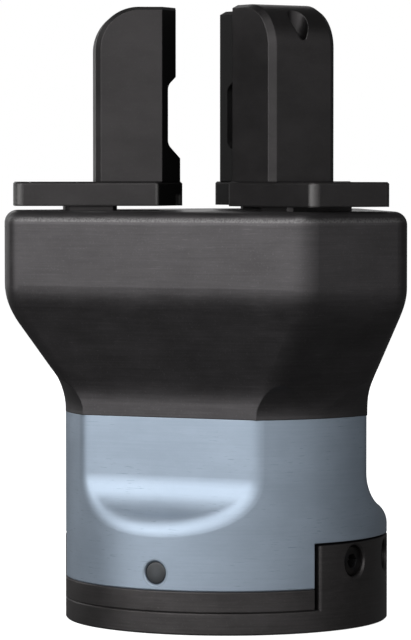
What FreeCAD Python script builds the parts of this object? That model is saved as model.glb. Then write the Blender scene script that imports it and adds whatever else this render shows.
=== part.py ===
import FreeCAD, Part
import math
import os
from collections import namedtuple

# Electric three-finger centric gripper, jaws fully open.
# Millimetres, +Z up, origin at the centre of the mounting face.
# A direction is given in degrees from -Y towards +X. A jaw's own frame has X
# outward along its travel and Y a quarter turn ahead, seen from above.

Screw = namedtuple("Screw", "shank_r head_r head_h")
V = FreeCAD.Vector
UP = V(0, 0, 1)
TAN_60 = math.tan(math.radians(60))
FAR = 90.0  # reach of a cutting tool, past everything

# Overall sizes
BASE_R = 37.5
FLANGE_RING_H = 5.0
COVER_BAND_H = 4.8
BODY_H = 38.4
HEAD_H = 46.6
JAW_GAP = 1.05
PLATE_T = 5.55
FINGER_H = 40.2
JAW_STROKE = 10.0

# Directions
JAW_ANGLES = (-90.0, 30.0, 150.0)
SIDE_ANGLES = (-30.0, 90.0, 210.0)
LUG_ANGLES = (60.0, 240.0)

# Clearances and fits
SCREW_FIT = 0.1
RUN_FIT = 0.05
PRESS_GAP = 0.04
SEAL_FIT = 0.1
SLIDE_FIT = 0.3
SHELL_GAP = 0.2
LUG_GAP = 0.5
LUG_END_GAP = 1.3
THREAD_RUNOUT = 1.0
EDGE_BREAK = 0.25

# Fasteners
M2_5 = Screw(1.25, 2.25, 2.5)
M3 = Screw(1.5, 2.75, 3.0)
M4 = Screw(2.0, 3.5, 4.0)
M4_LOW = Screw(2.0, 3.5, 2.6)

# Mounting flange
FLANGE_BOSS_GRIP = 0.8
FLANGE_BOSS_H = 7.0
CENTRE_BORE_R = 15.75
ROBOT_PCD = 50.0
ROBOT_HOLE_COUNT = 4
ROBOT_HOLE_R = 3.3
ROBOT_HEAD_R = 5.5
ROBOT_HEAD_H = 4.1
DOWEL_R = 3.0
FOOT_CHAMFER = 0.3
LUG_HALF_ANGLE = 30.6
LUG_H = 19.6
LUG_T = 6.5
LUG_EDGE_R = 0.8
LUG_SCREW_SPREAD = 13.2
LUG_SCREW_Z = 15.3
LUG_SCREW_SINK = 5.0
LUG_SCREW_L = 6.3
LUG_SCREW_RIM = 0.35

# Base cover
COVER_WEB_T = 2.4
SPIGOT_H = 1.0
COVER_SCREW_ANGLES = (-50.0, -10.0, 112.0, 188.0)
COVER_SCREW_INSET = 2.7
COVER_SCREW_L = 8.0
SEAL_W = 1.4
SEAL_T = 1.0
BASE_SEAL_LAND = 1.6

# Body housing
BODY_STEP = 0.05
FLAT_DEPTH = 7.0
BODY_WALL = 3.0
LOWER_WALL = 5.8
LOWER_CAVITY_H = 11.4
SCOOP_TOP_DROP = 13.2
SCOOP_R = 10.5
SCOOP_TURN = 54.0
SCOOP_RIM_R = 5.5
TIE_BOLT_ANGLES = (-76.0, 16.0, 135.0, 165.0)
TIE_BOLT_INSET = 4.75
TIE_BOLT_SINK = 5.4
TIE_BOLT_GRIP = 9.0

# Head housing
END_FLARE = 13.9
SIDE_FLARE = 7.35
SHOULDER_DROP = 17.0
END_FOOT = 0.8
SIDE_FOOT = 3.4
SHOULDER_R = 15.0
WAIST_R = 14.0
WAIST_TRIM_R = 9.0
WAIST_TRIM_TURN = 50.0
CORNER_R = 5.5
TOP_EDGE_R = 3.0
HEAD_SEAL_LAND = 0.8

# Top cover of the head
TOP_COVER_T = 3.0
TOP_COVER_INSET = 3.6
TOP_COVER_CORNER_R = 3.0
TOP_COVER_FIT = 0.15
TOP_SCREW_INSET = 4.0
TOP_SCREW_SPREAD = 10.0
TOP_SCREW_L = 9.0
SLOT_CORNER_R = 1.2

# Head pocket and guides
POCKET_H = 15.9
POCKET_MARGIN = 1.4
FLOOR_T = 5.0
CHANNEL_END_GAP = 1.3
RAIL_IN = 14.5
RAIL_END_GAP = 0.5
RAIL_W = 7.0
RAIL_H = 5.0
RAIL_GROOVE_DEPTH = 0.5
RAIL_GROOVE_H = 1.4
RAIL_GROOVE_Z = 2.1
RAIL_FIT = 0.1
RAIL_SCREW_ENDS = 4.5
RAIL_SCREW_L = 6.0
CARRIAGE_LIFT = 1.5
CARRIAGE_H = 7.0
CARRIAGE_W = 17.0
CARRIAGE_L = 20.0

# Jaw slide, the piece that comes up through the head
SLIDE_RACK_GAP = 1.47
SLIDE_L = 16.5
SHIELD_T = 0.8
SHIELD_L = 22.5
SHIELD_W = 19.6
BOSS_INSET = 6.7
BOSS_L = 11.9
BOSS_W = 18.0
BOSS_CHAMFER = 1.0
SLOT_MARGIN = 0.8
SLOT_SIDE_GAP = 0.4
CARRIAGE_SCREW_INSET = 3.5
CARRIAGE_SCREW_SPREAD = 5.0
CARRIAGE_SCREW_GRIP = 3.0

# Jaw plate and finger
CLOSED_GAP = 0.3
PLATE_L = 39.1
PLATE_W = 21.9
PLATE_CORNER_R = 1.8
PLATE_WEDGE_R = 0.8
PLATE_EDGE = 0.4
GROOVE_INSETS = (14.0, 3.4)
GROOVE_W = 0.6
GROOVE_DEPTH = 0.3
PLATE_SCREW_INSET = 3.4
PLATE_SCREW_SPREAD = 5.2
PLATE_SCREW_GRIP = 6.5
FINGER_INSET = 0.55
FINGER_L = 19.9
FINGER_W = 18.2
FINGER_BACK_R = 10.0
FINGER_BACK_BEVEL = 1.1
FINGER_TOP_BEVEL = 0.75
FINGER_SIDE_BEVEL = 1.6
WEDGE_TOP_CHAMFER = 0.7
FINGER_NOSE_H = 5.4
RELIEF_DEPTH = 3.18
RELIEF_CORNER_R = 2.5
LIP_INSET = 1.15
LIP_H = 16.0
FINGER_HOLE_R = 2.35
FINGER_HOLE_BACK = 2.5
FINGER_HOLE_DEPTH = 8.2
DRILL_ANGLE = 118.0
FINGER_SCREW_INSETS = (4.3, 11.7)
FINGER_SCREW_L = 8.0

# Rack and pinion
RACK_MODULE = 0.8
RACK_PASS_GAP = 0.3
PRESSURE_ANGLE = 20.0
TOOTH_THINNING = 0.06
RACK_IN = -2.0
RACK_INSET = 2.5
RACK_H = 5.5
RACK_BACK = 2.8
RACK_SCREW_INSETS = (2.4, 9.2)
RACK_SCREW_GRIP = 6.0
RACK_ROOM = 0.7
PINION_OVERLAP = 0.2
PINION_SEAT_R = 5.0
PINION_SCREW = Screw(1.5, 5.8, 0.8)
PINION_SCREW_L = 9.0

# Planetary gearbox under the head's floor
GEAR_MODULE = 0.75
SUN_TEETH = 15
PLANET_TEETH = 15
STUB = 0.8
ROOT_GAP = 0.2
GEAR_FACE = 6.0
RING_GEAR_H = 11.5
RING_GEAR_R = 19.4
GEARBOX_FLANGE_T = 4.0
GEARBOX_FLANGE_R = 25.6
GEARBOX_SCREW_R = 22.6
GEARBOX_SCREW_ANGLES = (45.0, 135.0, 225.0, 315.0)
GEARBOX_SCREW_GRIP = 3.5
CARRIER_R = 14.5
CARRIER_T = 3.3
CARRIER_GAP = 0.7
GEAR_GAP = 0.3
PIN_R = 2.0
PIN_GRIP = 2.5
PIN_TAIL = 0.6
DRIVE_SHAFT_R = 6.0
OUT_BEARING_R = 11.0
OUT_BEARING_W = 3.2
BEARING_LIP_R = 8.5
BEARING_SHIELD_STEP = 0.3

# Motor and its encoder
MOTOR_PLATE_T = 4.0
CAN_H = 22.0
CAN_WALL = 1.8
END_BELL_T = 3.0
MOTOR_SHAFT_R = 3.0
MOTOR_BEARING_R = 6.5
MOTOR_BEARING_W = 2.2
MOTOR_LIP_R = 4.6
STATOR_H = 14.0
STATOR_LIFT = 4.0
YOKE_T = 2.0
POLE_COUNT = 9
POLE_W = 3.0
AIR_GAP = 0.6
ROTOR_R = 12.0
ROTOR_H = 13.0
COIL_SIDE = 1.1
COIL_END = 1.5
COIL_IN_GAP = 0.4
COIL_OUT_GAP = 0.25
SHAFT_TAIL = 1.6
MAGNET_H = 1.6
ENCODER_R = 15.0
ENCODER_DROP = 4.2
ENCODER_CHIP = 4.0
ENCODER_CHIP_H = 0.6
ENCODER_POST_R = 1.5
ENCODER_POST_PLACE_R = 12.0

# Boards on the base cover
BOARD_GAP = 1.2
BOARD_T = 1.6
BOARD_BOSS_H = 0.5
BOARD_SPACING = 3.0
BOARD_POST_R = 2.2
BOARD_POST_INSET = 4.3
BOARD_POST_ANGLES = (30.0, 150.0, 270.0)
BOARD_SCREW = Screw(1.1, 2.0, 1.5)
BOARD_SCREW_GRIP = 1.6
LED_L = 2.2
LED_W = 3.0
LED_H = 1.6
LED_EDGE = 0.4

# Status lens and power socket
LENS_ANGLE = -30.0
LENS_R = 2.45
LENS_DEPTH = 3.0
LENS_SINK = 0.4
LENS_RIM = 0.35
LENS_STEM_R = 1.5
LENS_BOARD_GAP = 0.3
LENS_FIT = 0.1
SOCKET_ANGLE = 150.0
SOCKET_Z = 15.2
SOCKET_FLANGE_R = 5.0
SOCKET_FLANGE_T = 1.3
SOCKET_SINK = 1.7
SOCKET_BARREL_R = 4.0
SOCKET_BARREL_L = 11.6
SOCKET_BORE_R = 3.2
SOCKET_BORE_DEPTH = 8.9
SOCKET_WIRE_R = 2.4
INSERT_T = 2.0
INSERT_PIN_R = 0.45
INSERT_PIN_L = 4.5
INSERT_PIN_PLACE_R = 1.7
INSERT_PIN_COUNT = 4

# Levels
Z_RING = FLANGE_RING_H
Z_COVER = Z_RING + COVER_BAND_H
Z_BODY = Z_COVER + BODY_H
Z_HEAD = Z_BODY + HEAD_H
Z_PLATE = Z_HEAD + JAW_GAP
Z_FINGER = Z_PLATE + PLATE_T
Z_TOP = Z_FINGER + FINGER_H
Z_POCKET_TOP = Z_HEAD - TOP_COVER_T
Z_FLOOR = Z_POCKET_TOP - POCKET_H
Z_CEILING = Z_FLOOR - FLOOR_T
Z_CARRIAGE = Z_FLOOR + CARRIAGE_LIFT
Z_SLIDE = Z_CARRIAGE + CARRIAGE_H
Z_SHIELD_TOP = Z_POCKET_TOP - SLIDE_FIT
Z_SHIELD = Z_SHIELD_TOP - SHIELD_T
Z_RACK_TOP = Z_SHIELD - SLIDE_FIT
Z_RACK = Z_RACK_TOP - RACK_H
Z_PINION = Z_RACK - PINION_OVERLAP
Z_PINION_TOP = Z_RACK_TOP + PINION_OVERLAP
Z_GEARBOX_FLANGE = Z_CEILING - GEARBOX_FLANGE_T
Z_CARRIER_TOP = Z_GEARBOX_FLANGE - CARRIER_GAP
Z_CARRIER = Z_CARRIER_TOP - CARRIER_T
Z_GEARS_TOP = Z_CARRIER - GEAR_GAP
Z_GEARS = Z_GEARS_TOP - GEAR_FACE
Z_RING_GEAR = Z_GEARBOX_FLANGE - RING_GEAR_H
Z_MOTOR_PLATE = Z_RING_GEAR - MOTOR_PLATE_T
Z_CAN = Z_MOTOR_PLATE - CAN_H
Z_BELL = Z_CAN - END_BELL_T
Z_STATOR = Z_CAN + STATOR_LIFT
Z_SHAFT = Z_BELL - SHAFT_TAIL
Z_ENCODER_TOP = Z_BELL - ENCODER_DROP
Z_SPIGOT = Z_COVER + SPIGOT_H
Z_BOARD_1 = Z_SPIGOT + BOARD_BOSS_H
Z_BOARD_2 = Z_BOARD_1 + BOARD_T + BOARD_SPACING
Z_BOARDS_TOP = Z_BOARD_2 + BOARD_T
Z_LED = Z_BOARD_1 + BOARD_T
Z_LENS = Z_LED + LED_H / 2

# Derived radii
BODY_R = BASE_R - BODY_STEP
FLAT_REACH = BASE_R - FLAT_DEPTH
END_REACH = BASE_R + END_FLARE
SIDE_REACH = FLAT_REACH + SIDE_FLARE
CAVITY_R = FLAT_REACH - BODY_WALL
LUG_INNER_R = BASE_R - LUG_T
NOTCH_R = LUG_INNER_R - SHELL_GAP
FLANGE_BOSS_R = LUG_INNER_R + FLANGE_BOSS_GRIP
COVER_SCREW_PLACE_R = BASE_R - COVER_SCREW_INSET
TIE_BOLT_PLACE_R = BASE_R - TIE_BOLT_INSET
LOWER_CAVITY_R = NOTCH_R - LOWER_WALL
BASE_SEAL_R = LOWER_CAVITY_R + BASE_SEAL_LAND
HEAD_SEAL_R = CAVITY_R + HEAD_SEAL_LAND
BOARD_R = LOWER_CAVITY_R - BOARD_GAP
BOARD_POST_PLACE_R = BOARD_R - BOARD_POST_INSET
# a closed rack reaches past the axis, so the pinion is large enough for the racks to pass one
# another, and three divides its teeth so that all three racks are alike
RACK_REACH = JAW_STROKE - RACK_IN
PINION_TEETH = 3 * math.ceil(
    2 * (RACK_REACH / math.sqrt(3) + RACK_PASS_GAP + RACK_MODULE) / RACK_MODULE / 3
)
PITCH_R = RACK_MODULE * PINION_TEETH / 2
RACK_PITCH = math.pi * RACK_MODULE
RACK_TIP = PITCH_R - RACK_MODULE
RACK_ROOT = PITCH_R + (1 + ROOT_GAP) * RACK_MODULE
RACK_BACK_Y = RACK_ROOT + RACK_BACK
POCKET_R = math.hypot(RACK_REACH, RACK_BACK_Y) + POCKET_MARGIN
# a closed slide stays clear of the end of the next jaw's rack
SLIDE_IN = JAW_STROKE + RACK_REACH / 2 + RACK_BACK_Y * math.sqrt(3) / 2 + SLIDE_RACK_GAP
SLIDE_OUT = SLIDE_IN + SLIDE_L
BOSS_OUT = SLIDE_OUT - BOSS_INSET
PLATE_IN = JAW_STROKE + CLOSED_GAP
PLATE_OUT = PLATE_IN + PLATE_L
PLATE_SCREW_OUT = BOSS_OUT - PLATE_SCREW_INSET
GROOVE_PLACES = [PLATE_OUT - inset for inset in GROOVE_INSETS]
FINGER_IN = PLATE_IN + FINGER_INSET
FINGER_OUT = FINGER_IN + FINGER_L
FINGER_SCREW_PLACES = [PLATE_IN + inset for inset in FINGER_SCREW_INSETS]
RACK_OUT = SLIDE_OUT - RACK_INSET
RACK_SCREW_PLACES = [SLIDE_IN + inset for inset in RACK_SCREW_INSETS]
RING_TEETH = SUN_TEETH + 2 * PLANET_TEETH
PLANET_PLACE_R = GEAR_MODULE * (SUN_TEETH + PLANET_TEETH) / 2
CHANNEL_END = SLIDE_OUT + CHANNEL_END_GAP
CHANNEL_HALF_W = SHIELD_W / 2 + SLIDE_FIT
RAIL_OUT = CHANNEL_END - RAIL_END_GAP
RAIL_SCREW_PLACES = (RAIL_IN + RAIL_SCREW_ENDS, RAIL_OUT - RAIL_SCREW_ENDS)
SLOT_IN = BOSS_OUT - BOSS_L - JAW_STROKE - SLOT_MARGIN
SLOT_OUT = BOSS_OUT + SLOT_MARGIN
CAN_R = RING_GEAR_R
STATOR_R = CAN_R - CAN_WALL - PRESS_GAP
STATOR_BORE_R = ROTOR_R + AIR_GAP
BASE_SEAL_GROOVE = (BASE_SEAL_R - SEAL_FIT, BASE_SEAL_R + SEAL_W + SEAL_FIT)
HEAD_SEAL_GROOVE = (HEAD_SEAL_R - SEAL_FIT, HEAD_SEAL_R + SEAL_W + SEAL_FIT)


def turned(shape, angle):
    """A shape from the jaw frame, turned so that its X points in a direction."""
    copy = shape.copy()
    copy.rotate(V(0, 0, 0), UP, angle - 90.0)
    return copy


def place(radius, angle):
    """The point on the ground at a radius in a direction."""
    turn = math.radians(angle)
    return V(radius * math.sin(turn), -radius * math.cos(turn), 0)


def rod(radius, z0, z1, at=V(0, 0, 0)):
    return Part.makeCylinder(radius, z1 - z0, V(at.x, at.y, z0))


def tube(outer, inner, z0, z1, at=V(0, 0, 0)):
    return rod(outer, z0, z1, at).cut(rod(inner, z0, z1, at))


def block(x0, x1, y0, y1, z0, z1):
    return Part.makeBox(x1 - x0, y1 - y0, z1 - z0, V(x0, y0, z0))


def prism(points, z0, z1):
    """A flat outline of (x, y) points, raised from z0 to z1."""
    corners = [V(x, y, z0) for x, y in points]
    face = Part.Face(Part.makePolygon(corners + corners[:1]))
    return face.extrude(V(0, 0, z1 - z0))


def spun(points):
    """A closed outline of (radius, z) points, turned about Z."""
    corners = [V(r, 0, z) for r, z in points]
    face = Part.Face(Part.makePolygon(corners + corners[:1]))
    return face.revolve(V(0, 0, 0), UP, 360)


def fused(shapes):
    first, *rest = shapes
    return first.fuse(rest).removeSplitter() if rest else first


def cut_all(shape, tools):
    return shape.cut(list(tools))


def screw(kind, length):
    """A cap screw with its seat at z = 0, its shank down and its head up."""
    return spun([
        (0, -length), (kind.shank_r, -length), (kind.shank_r, 0),
        (kind.head_r, 0), (kind.head_r, kind.head_h), (0, kind.head_h),
    ])


def screw_hole(kind, length, head_room=0.0):
    """The room that a screw needs, with head_room above its seat."""
    shank_r = kind.shank_r + SCREW_FIT
    head_r = kind.head_r + SCREW_FIT
    hole = rod(shank_r, -length - THREAD_RUNOUT, head_room or FAR)
    return fused([hole, rod(head_r, 0, head_room)]) if head_room else hole


def upright(shape, at, z):
    copy = shape.copy()
    copy.translate(V(at.x, at.y, z))
    return copy


def hanging(shape, at, z):
    """A shape made along +Z, turned upside down and put at a place."""
    copy = shape.copy()
    copy.rotate(V(0, 0, 0), V(1, 0, 0), 180)
    copy.translate(V(at.x, at.y, z))
    return copy


def pointing_out(shape, radius, angle, z):
    """A shape made along +Z, laid with that axis outward in a direction."""
    copy = shape.copy()
    copy.rotate(V(0, 0, 0), V(0, 1, 0), 90)
    copy.translate(V(radius, 0, z))
    return turned(copy, angle)


def sector(inner, outer, centre, half_angle, z0, z1):
    """Part of a tube, as wide as half_angle on both sides of its centre."""
    face = Part.Face(Part.makePolygon([
        V(inner, 0, z0), V(outer, 0, z0), V(outer, 0, z1), V(inner, 0, z1), V(inner, 0, z0),
    ]))
    part = face.revolve(V(0, 0, 0), UP, 2 * half_angle)
    return turned(part, centre - half_angle)


def grown_angle(half_angle, gap, radius):
    return half_angle + math.degrees(gap / radius)


def edges_where(shape, test):
    return [edge for edge in shape.Edges if test(edge)]


def on_circle(edge, radius):
    return all(abs(math.hypot(v.X, v.Y) - radius) < 0.01 for v in edge.Vertexes)


def ring_edges(shape, z):
    return edges_where(shape, lambda e: abs(e.BoundBox.ZMin - z) < 0.01 and e.BoundBox.ZLength < 0.01)


def flare_edges(lower, upper, z_lower, z_upper):
    """An S-shaped wall line: hollow waist, straight slope, rounded shoulder."""
    reach = SHOULDER_R + WAIST_R
    rise = z_upper - z_lower
    out = upper - lower - reach
    slope = math.sqrt(out ** 2 + rise ** 2 - reach ** 2)
    lean = math.atan2(slope, -reach) - math.atan2(rise, out)

    def waist(turn):
        return V(lower + WAIST_R * (1 - math.cos(turn)), 0, z_lower + WAIST_R * math.sin(turn))

    def shoulder(turn):
        return V(upper - SHOULDER_R * (1 - math.cos(turn)), 0, z_upper - SHOULDER_R * math.sin(turn))

    return [
        Part.Arc(waist(0), waist(lean / 2), waist(lean)).toShape(),
        Part.LineSegment(waist(lean), shoulder(lean)).toShape(),
        Part.Arc(shoulder(lean), shoulder(lean / 2), shoulder(0)).toShape(),
    ]


def line(start, end):
    return Part.LineSegment(start, end).toShape()


def flared_half_space(lower, upper, z_lower, z_upper, angle):
    """Everything behind one S-shaped wall of the head, from its foot to its top."""
    edges = [
        line(V(-FAR, 0, Z_BODY), V(lower, 0, Z_BODY)),
        line(V(lower, 0, Z_BODY), V(lower, 0, z_lower)),
        *flare_edges(lower, upper, z_lower, z_upper),
        line(V(upper, 0, z_upper), V(upper, 0, Z_HEAD)),
        line(V(upper, 0, Z_HEAD), V(-FAR, 0, Z_HEAD)),
        line(V(-FAR, 0, Z_HEAD), V(-FAR, 0, Z_BODY)),
    ]
    face = Part.Face(Part.Wire(edges))
    face.translate(V(0, -FAR, 0))
    return turned(face.extrude(V(0, 2 * FAR, 0)), angle)


def waist_envelope():
    """A round trim that brings the head's corners in to the neck's circle."""
    turn = math.radians(WAIST_TRIM_TURN)
    foot = Z_BODY + END_FOOT

    def waist(part):
        return V(BASE_R + WAIST_TRIM_R * (1 - math.cos(part)), 0, foot + WAIST_TRIM_R * math.sin(part))

    leave = waist(turn)
    top = Z_HEAD + 1.0
    rim = V(leave.x + (top - leave.z) * math.tan(turn), 0, top)
    edges = [
        line(V(0, 0, Z_BODY), V(BASE_R, 0, Z_BODY)),
        line(V(BASE_R, 0, Z_BODY), waist(0)),
        Part.Arc(waist(0), waist(turn / 2), leave).toShape(),
        line(leave, rim),
        line(rim, V(0, 0, top)),
        line(V(0, 0, top), V(0, 0, Z_BODY)),
    ]
    return Part.Face(Part.Wire(edges)).revolve(V(0, 0, 0), UP, 360)


def head_outside():
    shoulder = Z_HEAD - SHOULDER_DROP
    walls = [
        flared_half_space(BASE_R, END_REACH, Z_BODY + END_FOOT, shoulder, angle)
        for angle in JAW_ANGLES
    ]
    walls += [
        flared_half_space(FLAT_REACH, SIDE_REACH, Z_BODY + SIDE_FOOT, shoulder, angle)
        for angle in SIDE_ANGLES
    ]
    shape = walls[0]
    for wall in walls[1:]:
        shape = shape.common(wall)
    shape = shape.makeFillet(CORNER_R, edges_where(shape, lambda edge: edge.BoundBox.ZLength > 0.01))
    shape = shape.makeFillet(TOP_EDGE_R, edges_where(shape, lambda edge: edge.BoundBox.ZMin > Z_HEAD - 0.01))
    return shape.common(waist_envelope())


def seal(inner, z0):
    return tube(inner + SEAL_W, inner, z0, z0 + SEAL_T)


def seal_groove(groove, z0):
    return tube(groove[1], groove[0], z0, z0 + SEAL_T)


def countersunk(kind, length, gap=0.0):
    """A flat-headed screw, or the room for it, with its top at z = 0 and its shank down."""
    shank_r = kind.shank_r + gap
    head_r = kind.head_r + gap
    return spun([
        (0, -length), (shank_r, -length), (shank_r, shank_r - head_r), (head_r, 0), (0, 0),
    ])


def lug_screw_angles():
    return [lug + side * LUG_SCREW_SPREAD for lug in LUG_ANGLES for side in (-1, 1)]


def on_lugs(shape):
    """Copies of a screw or its hole at each place in the lugs."""
    seat = BASE_R - LUG_SCREW_SINK
    return [pointing_out(shape, seat, angle, LUG_SCREW_Z) for angle in lug_screw_angles()]


def lug_notches(z0):
    half = grown_angle(LUG_HALF_ANGLE, LUG_END_GAP, BASE_R)
    return [sector(NOTCH_R, FAR, angle, half, z0, LUG_H + LUG_GAP) for angle in LUG_ANGLES]


def lug(angle):
    shape = sector(LUG_INNER_R, BASE_R, angle, LUG_HALF_ANGLE, Z_RING / 2, LUG_H)
    corners = edges_where(shape, lambda e: e.BoundBox.ZLength > 1 and on_circle(e, BASE_R))
    shape = shape.makeFillet(LUG_EDGE_R, corners)
    return shape.makeChamfer(EDGE_BREAK, ring_edges(shape, LUG_H))


def lug_screw_hole():
    """A screw's room in a lug, opened out where it meets the lug's round face."""
    hole_r = M4.head_r + SCREW_FIT
    sag = BASE_R - math.sqrt(BASE_R ** 2 - hole_r ** 2)
    start = LUG_SCREW_SINK - sag - LUG_SCREW_RIM
    end = LUG_SCREW_SINK + LUG_SCREW_RIM
    rim = spun([(0, start), (hole_r, start), (hole_r + end - start, end), (0, end)])
    return fused([screw_hole(M4, LUG_SCREW_L, FAR), rim])


def mounting_flange():
    """The ring that goes on the robot, with two lugs that carry the gripper."""
    ring = rod(BASE_R, 0, Z_RING)
    ring = ring.makeChamfer(FOOT_CHAMFER, ring_edges(ring, 0))
    ring = ring.makeChamfer(EDGE_BREAK, ring_edges(ring, Z_RING))
    boss = rod(FLANGE_BOSS_R, 0, FLANGE_BOSS_H)
    holes = [rod(CENTRE_BORE_R, 0, FLANGE_BOSS_H)]
    for index in range(ROBOT_HOLE_COUNT):
        at = place(ROBOT_PCD / 2, 45.0 + index * 360.0 / ROBOT_HOLE_COUNT)
        holes.append(rod(ROBOT_HOLE_R, 0, FLANGE_BOSS_H, at))
        holes.append(rod(ROBOT_HEAD_R, FLANGE_BOSS_H - ROBOT_HEAD_H, FLANGE_BOSS_H, at))
    holes.append(rod(DOWEL_R, 0, FLANGE_BOSS_H, place(ROBOT_PCD / 2, 0)))
    holes += on_lugs(lug_screw_hole())
    return cut_all(fused([ring, boss] + [lug(angle) for angle in LUG_ANGLES]), holes)


def flange_screws():
    return on_lugs(screw(M4, LUG_SCREW_L))


def base_cover():
    """The black band under the body, closed by a web that carries the boards."""
    band = rod(BASE_R, Z_RING, Z_COVER)
    band = band.makeChamfer(EDGE_BREAK, ring_edges(band, Z_RING) + ring_edges(band, Z_COVER))
    spigot = rod(LOWER_CAVITY_R - SHELL_GAP, Z_COVER, Z_SPIGOT)
    posts = [rod(BOARD_POST_R, Z_SPIGOT, Z_BOARD_1, at) for at in board_places()]
    room = rod(FLANGE_BOSS_R + SLIDE_FIT, Z_RING, Z_COVER - COVER_WEB_T)
    tools = [room, seal_groove(BASE_SEAL_GROOVE, Z_COVER - SEAL_T)]
    tools += lug_notches(Z_RING)
    tools += on_cover(countersunk(M2_5, COVER_SCREW_L + COVER_BAND_H, SCREW_FIT))
    tools += [upright(board_screw_hole(), at, Z_BOARDS_TOP) for at in board_places()]
    return cut_all(fused([band, spigot] + posts), tools)


def on_cover(shape):
    """Copies of a screw or its hole at each place under the base cover."""
    return [hanging(shape, place(COVER_SCREW_PLACE_R, angle), Z_RING) for angle in COVER_SCREW_ANGLES]


def base_cover_screws():
    return on_cover(countersunk(M2_5, COVER_SCREW_L))


def scoop(angle):
    """What is taken off the body for one flat and the hollow at its foot."""
    foot = Z_BODY - SCOOP_TOP_DROP
    turn = math.radians(SCOOP_TURN)
    over = Z_BODY + 1.0

    def hollow(part):
        return V(FLAT_REACH + SCOOP_R * (1 - math.cos(part)), 0, foot - SCOOP_R * math.sin(part))

    leave = hollow(turn)
    end = V(FAR, 0, leave.z - (FAR - leave.x) / math.tan(turn))
    edges = [
        line(V(FLAT_REACH, 0, over), V(FLAT_REACH, 0, foot)),
        Part.Arc(hollow(0), hollow(turn / 2), leave).toShape(),
        line(leave, end),
        line(end, V(FAR, 0, over)),
        line(V(FAR, 0, over), V(FLAT_REACH, 0, over)),
    ]
    face = Part.Face(Part.Wire(edges))
    face.translate(V(0, -FAR, 0))
    return turned(face.extrude(V(0, 2 * FAR, 0)), angle)


def tie_bolt_seat():
    return Z_COVER + TIE_BOLT_SINK


def tie_bolt_length():
    return Z_BODY - tie_bolt_seat() + TIE_BOLT_GRIP


def on_ties(shape):
    """Copies of a bolt or its hole at each place in the body's wall."""
    return [hanging(shape, place(TIE_BOLT_PLACE_R, angle), tie_bolt_seat()) for angle in TIE_BOLT_ANGLES]


def tie_bolts():
    return on_ties(screw(M4, tie_bolt_length()))


def body_housing():
    shape = rod(BODY_R, Z_COVER, Z_BODY)
    shape = shape.makeChamfer(EDGE_BREAK, ring_edges(shape, Z_COVER))
    shape = cut_all(shape, [scoop(angle) for angle in SIDE_ANGLES])
    rims = edges_where(shape, lambda e: (
        on_circle(e, BODY_R) and e.BoundBox.ZLength > 0.01 and e.BoundBox.ZMin > Z_COVER + 0.01
    ))
    shape = shape.makeFillet(SCOOP_RIM_R, rims)
    tools = [
        rod(LOWER_CAVITY_R, Z_COVER, Z_COVER + LOWER_CAVITY_H),
        rod(CAVITY_R, Z_COVER + LOWER_CAVITY_H, Z_BODY),
        pointing_out(lens_hole(), 0, LENS_ANGLE, Z_LENS),
        pointing_out(socket_hole(), 0, SOCKET_ANGLE, SOCKET_Z),
    ]
    tools += lug_notches(Z_COVER)
    tools += on_lugs(screw_hole(M4, LUG_SCREW_L))
    tools += on_ties(screw_hole(M4, tie_bolt_length(), FAR))
    tools += on_cover(countersunk(M2_5, COVER_SCREW_L + THREAD_RUNOUT, SCREW_FIT))
    return cut_all(shape, tools)


def lens_levels():
    """Where the lens starts, where its window starts and where it ends, as radii."""
    face = BODY_R - LENS_SINK
    return BOARD_R + LENS_BOARD_GAP, face - LENS_DEPTH, face


def status_lens():
    start, window, face = lens_levels()
    shape = spun([
        (0, start), (LENS_STEM_R, start), (LENS_STEM_R, window),
        (LENS_R, window), (LENS_R, face), (0, face),
    ])
    return pointing_out(shape, 0, LENS_ANGLE, Z_LENS)


def lens_hole():
    start, window, _ = lens_levels()
    stem_r = LENS_STEM_R + LENS_FIT
    window_r = LENS_R + LENS_FIT
    rim_r = window_r + 2 * LENS_RIM
    return spun([
        (0, start), (stem_r, start), (stem_r, window), (window_r, window),
        (window_r, BODY_R - LENS_RIM), (rim_r, BODY_R + LENS_RIM), (0, BODY_R + LENS_RIM),
    ])


def socket_levels():
    """Back, bore floor, seat and face of the socket, as radii."""
    seat = BODY_R - SOCKET_SINK
    face = seat + SOCKET_FLANGE_T
    return seat - SOCKET_BARREL_L, face - SOCKET_BORE_DEPTH, seat, face


def power_socket():
    back, floor, seat, face = socket_levels()
    shape = spun([
        (SOCKET_WIRE_R, back), (SOCKET_BARREL_R, back), (SOCKET_BARREL_R, seat),
        (SOCKET_FLANGE_R, seat), (SOCKET_FLANGE_R, face), (SOCKET_BORE_R, face),
        (SOCKET_BORE_R, floor), (SOCKET_WIRE_R, floor),
    ])
    return pointing_out(shape, 0, SOCKET_ANGLE, SOCKET_Z)


def socket_hole():
    back, _, seat, _ = socket_levels()
    barrel_r = SOCKET_BARREL_R + SCREW_FIT
    flange_r = SOCKET_FLANGE_R + SCREW_FIT
    return spun([
        (0, back), (barrel_r, back), (barrel_r, seat), (flange_r, seat), (flange_r, FAR), (0, FAR),
    ])


def socket_insert():
    floor = socket_levels()[1]
    disc = rod(SOCKET_BORE_R - SCREW_FIT, floor, floor + INSERT_T)
    pins = []
    for index in range(INSERT_PIN_COUNT):
        at = place(INSERT_PIN_PLACE_R, index * 360.0 / INSERT_PIN_COUNT)
        pins.append(rod(INSERT_PIN_R, floor + INSERT_T, floor + INSERT_T + INSERT_PIN_L, at))
    return pointing_out(fused([disc] + pins), 0, SOCKET_ANGLE, SOCKET_Z)


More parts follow.
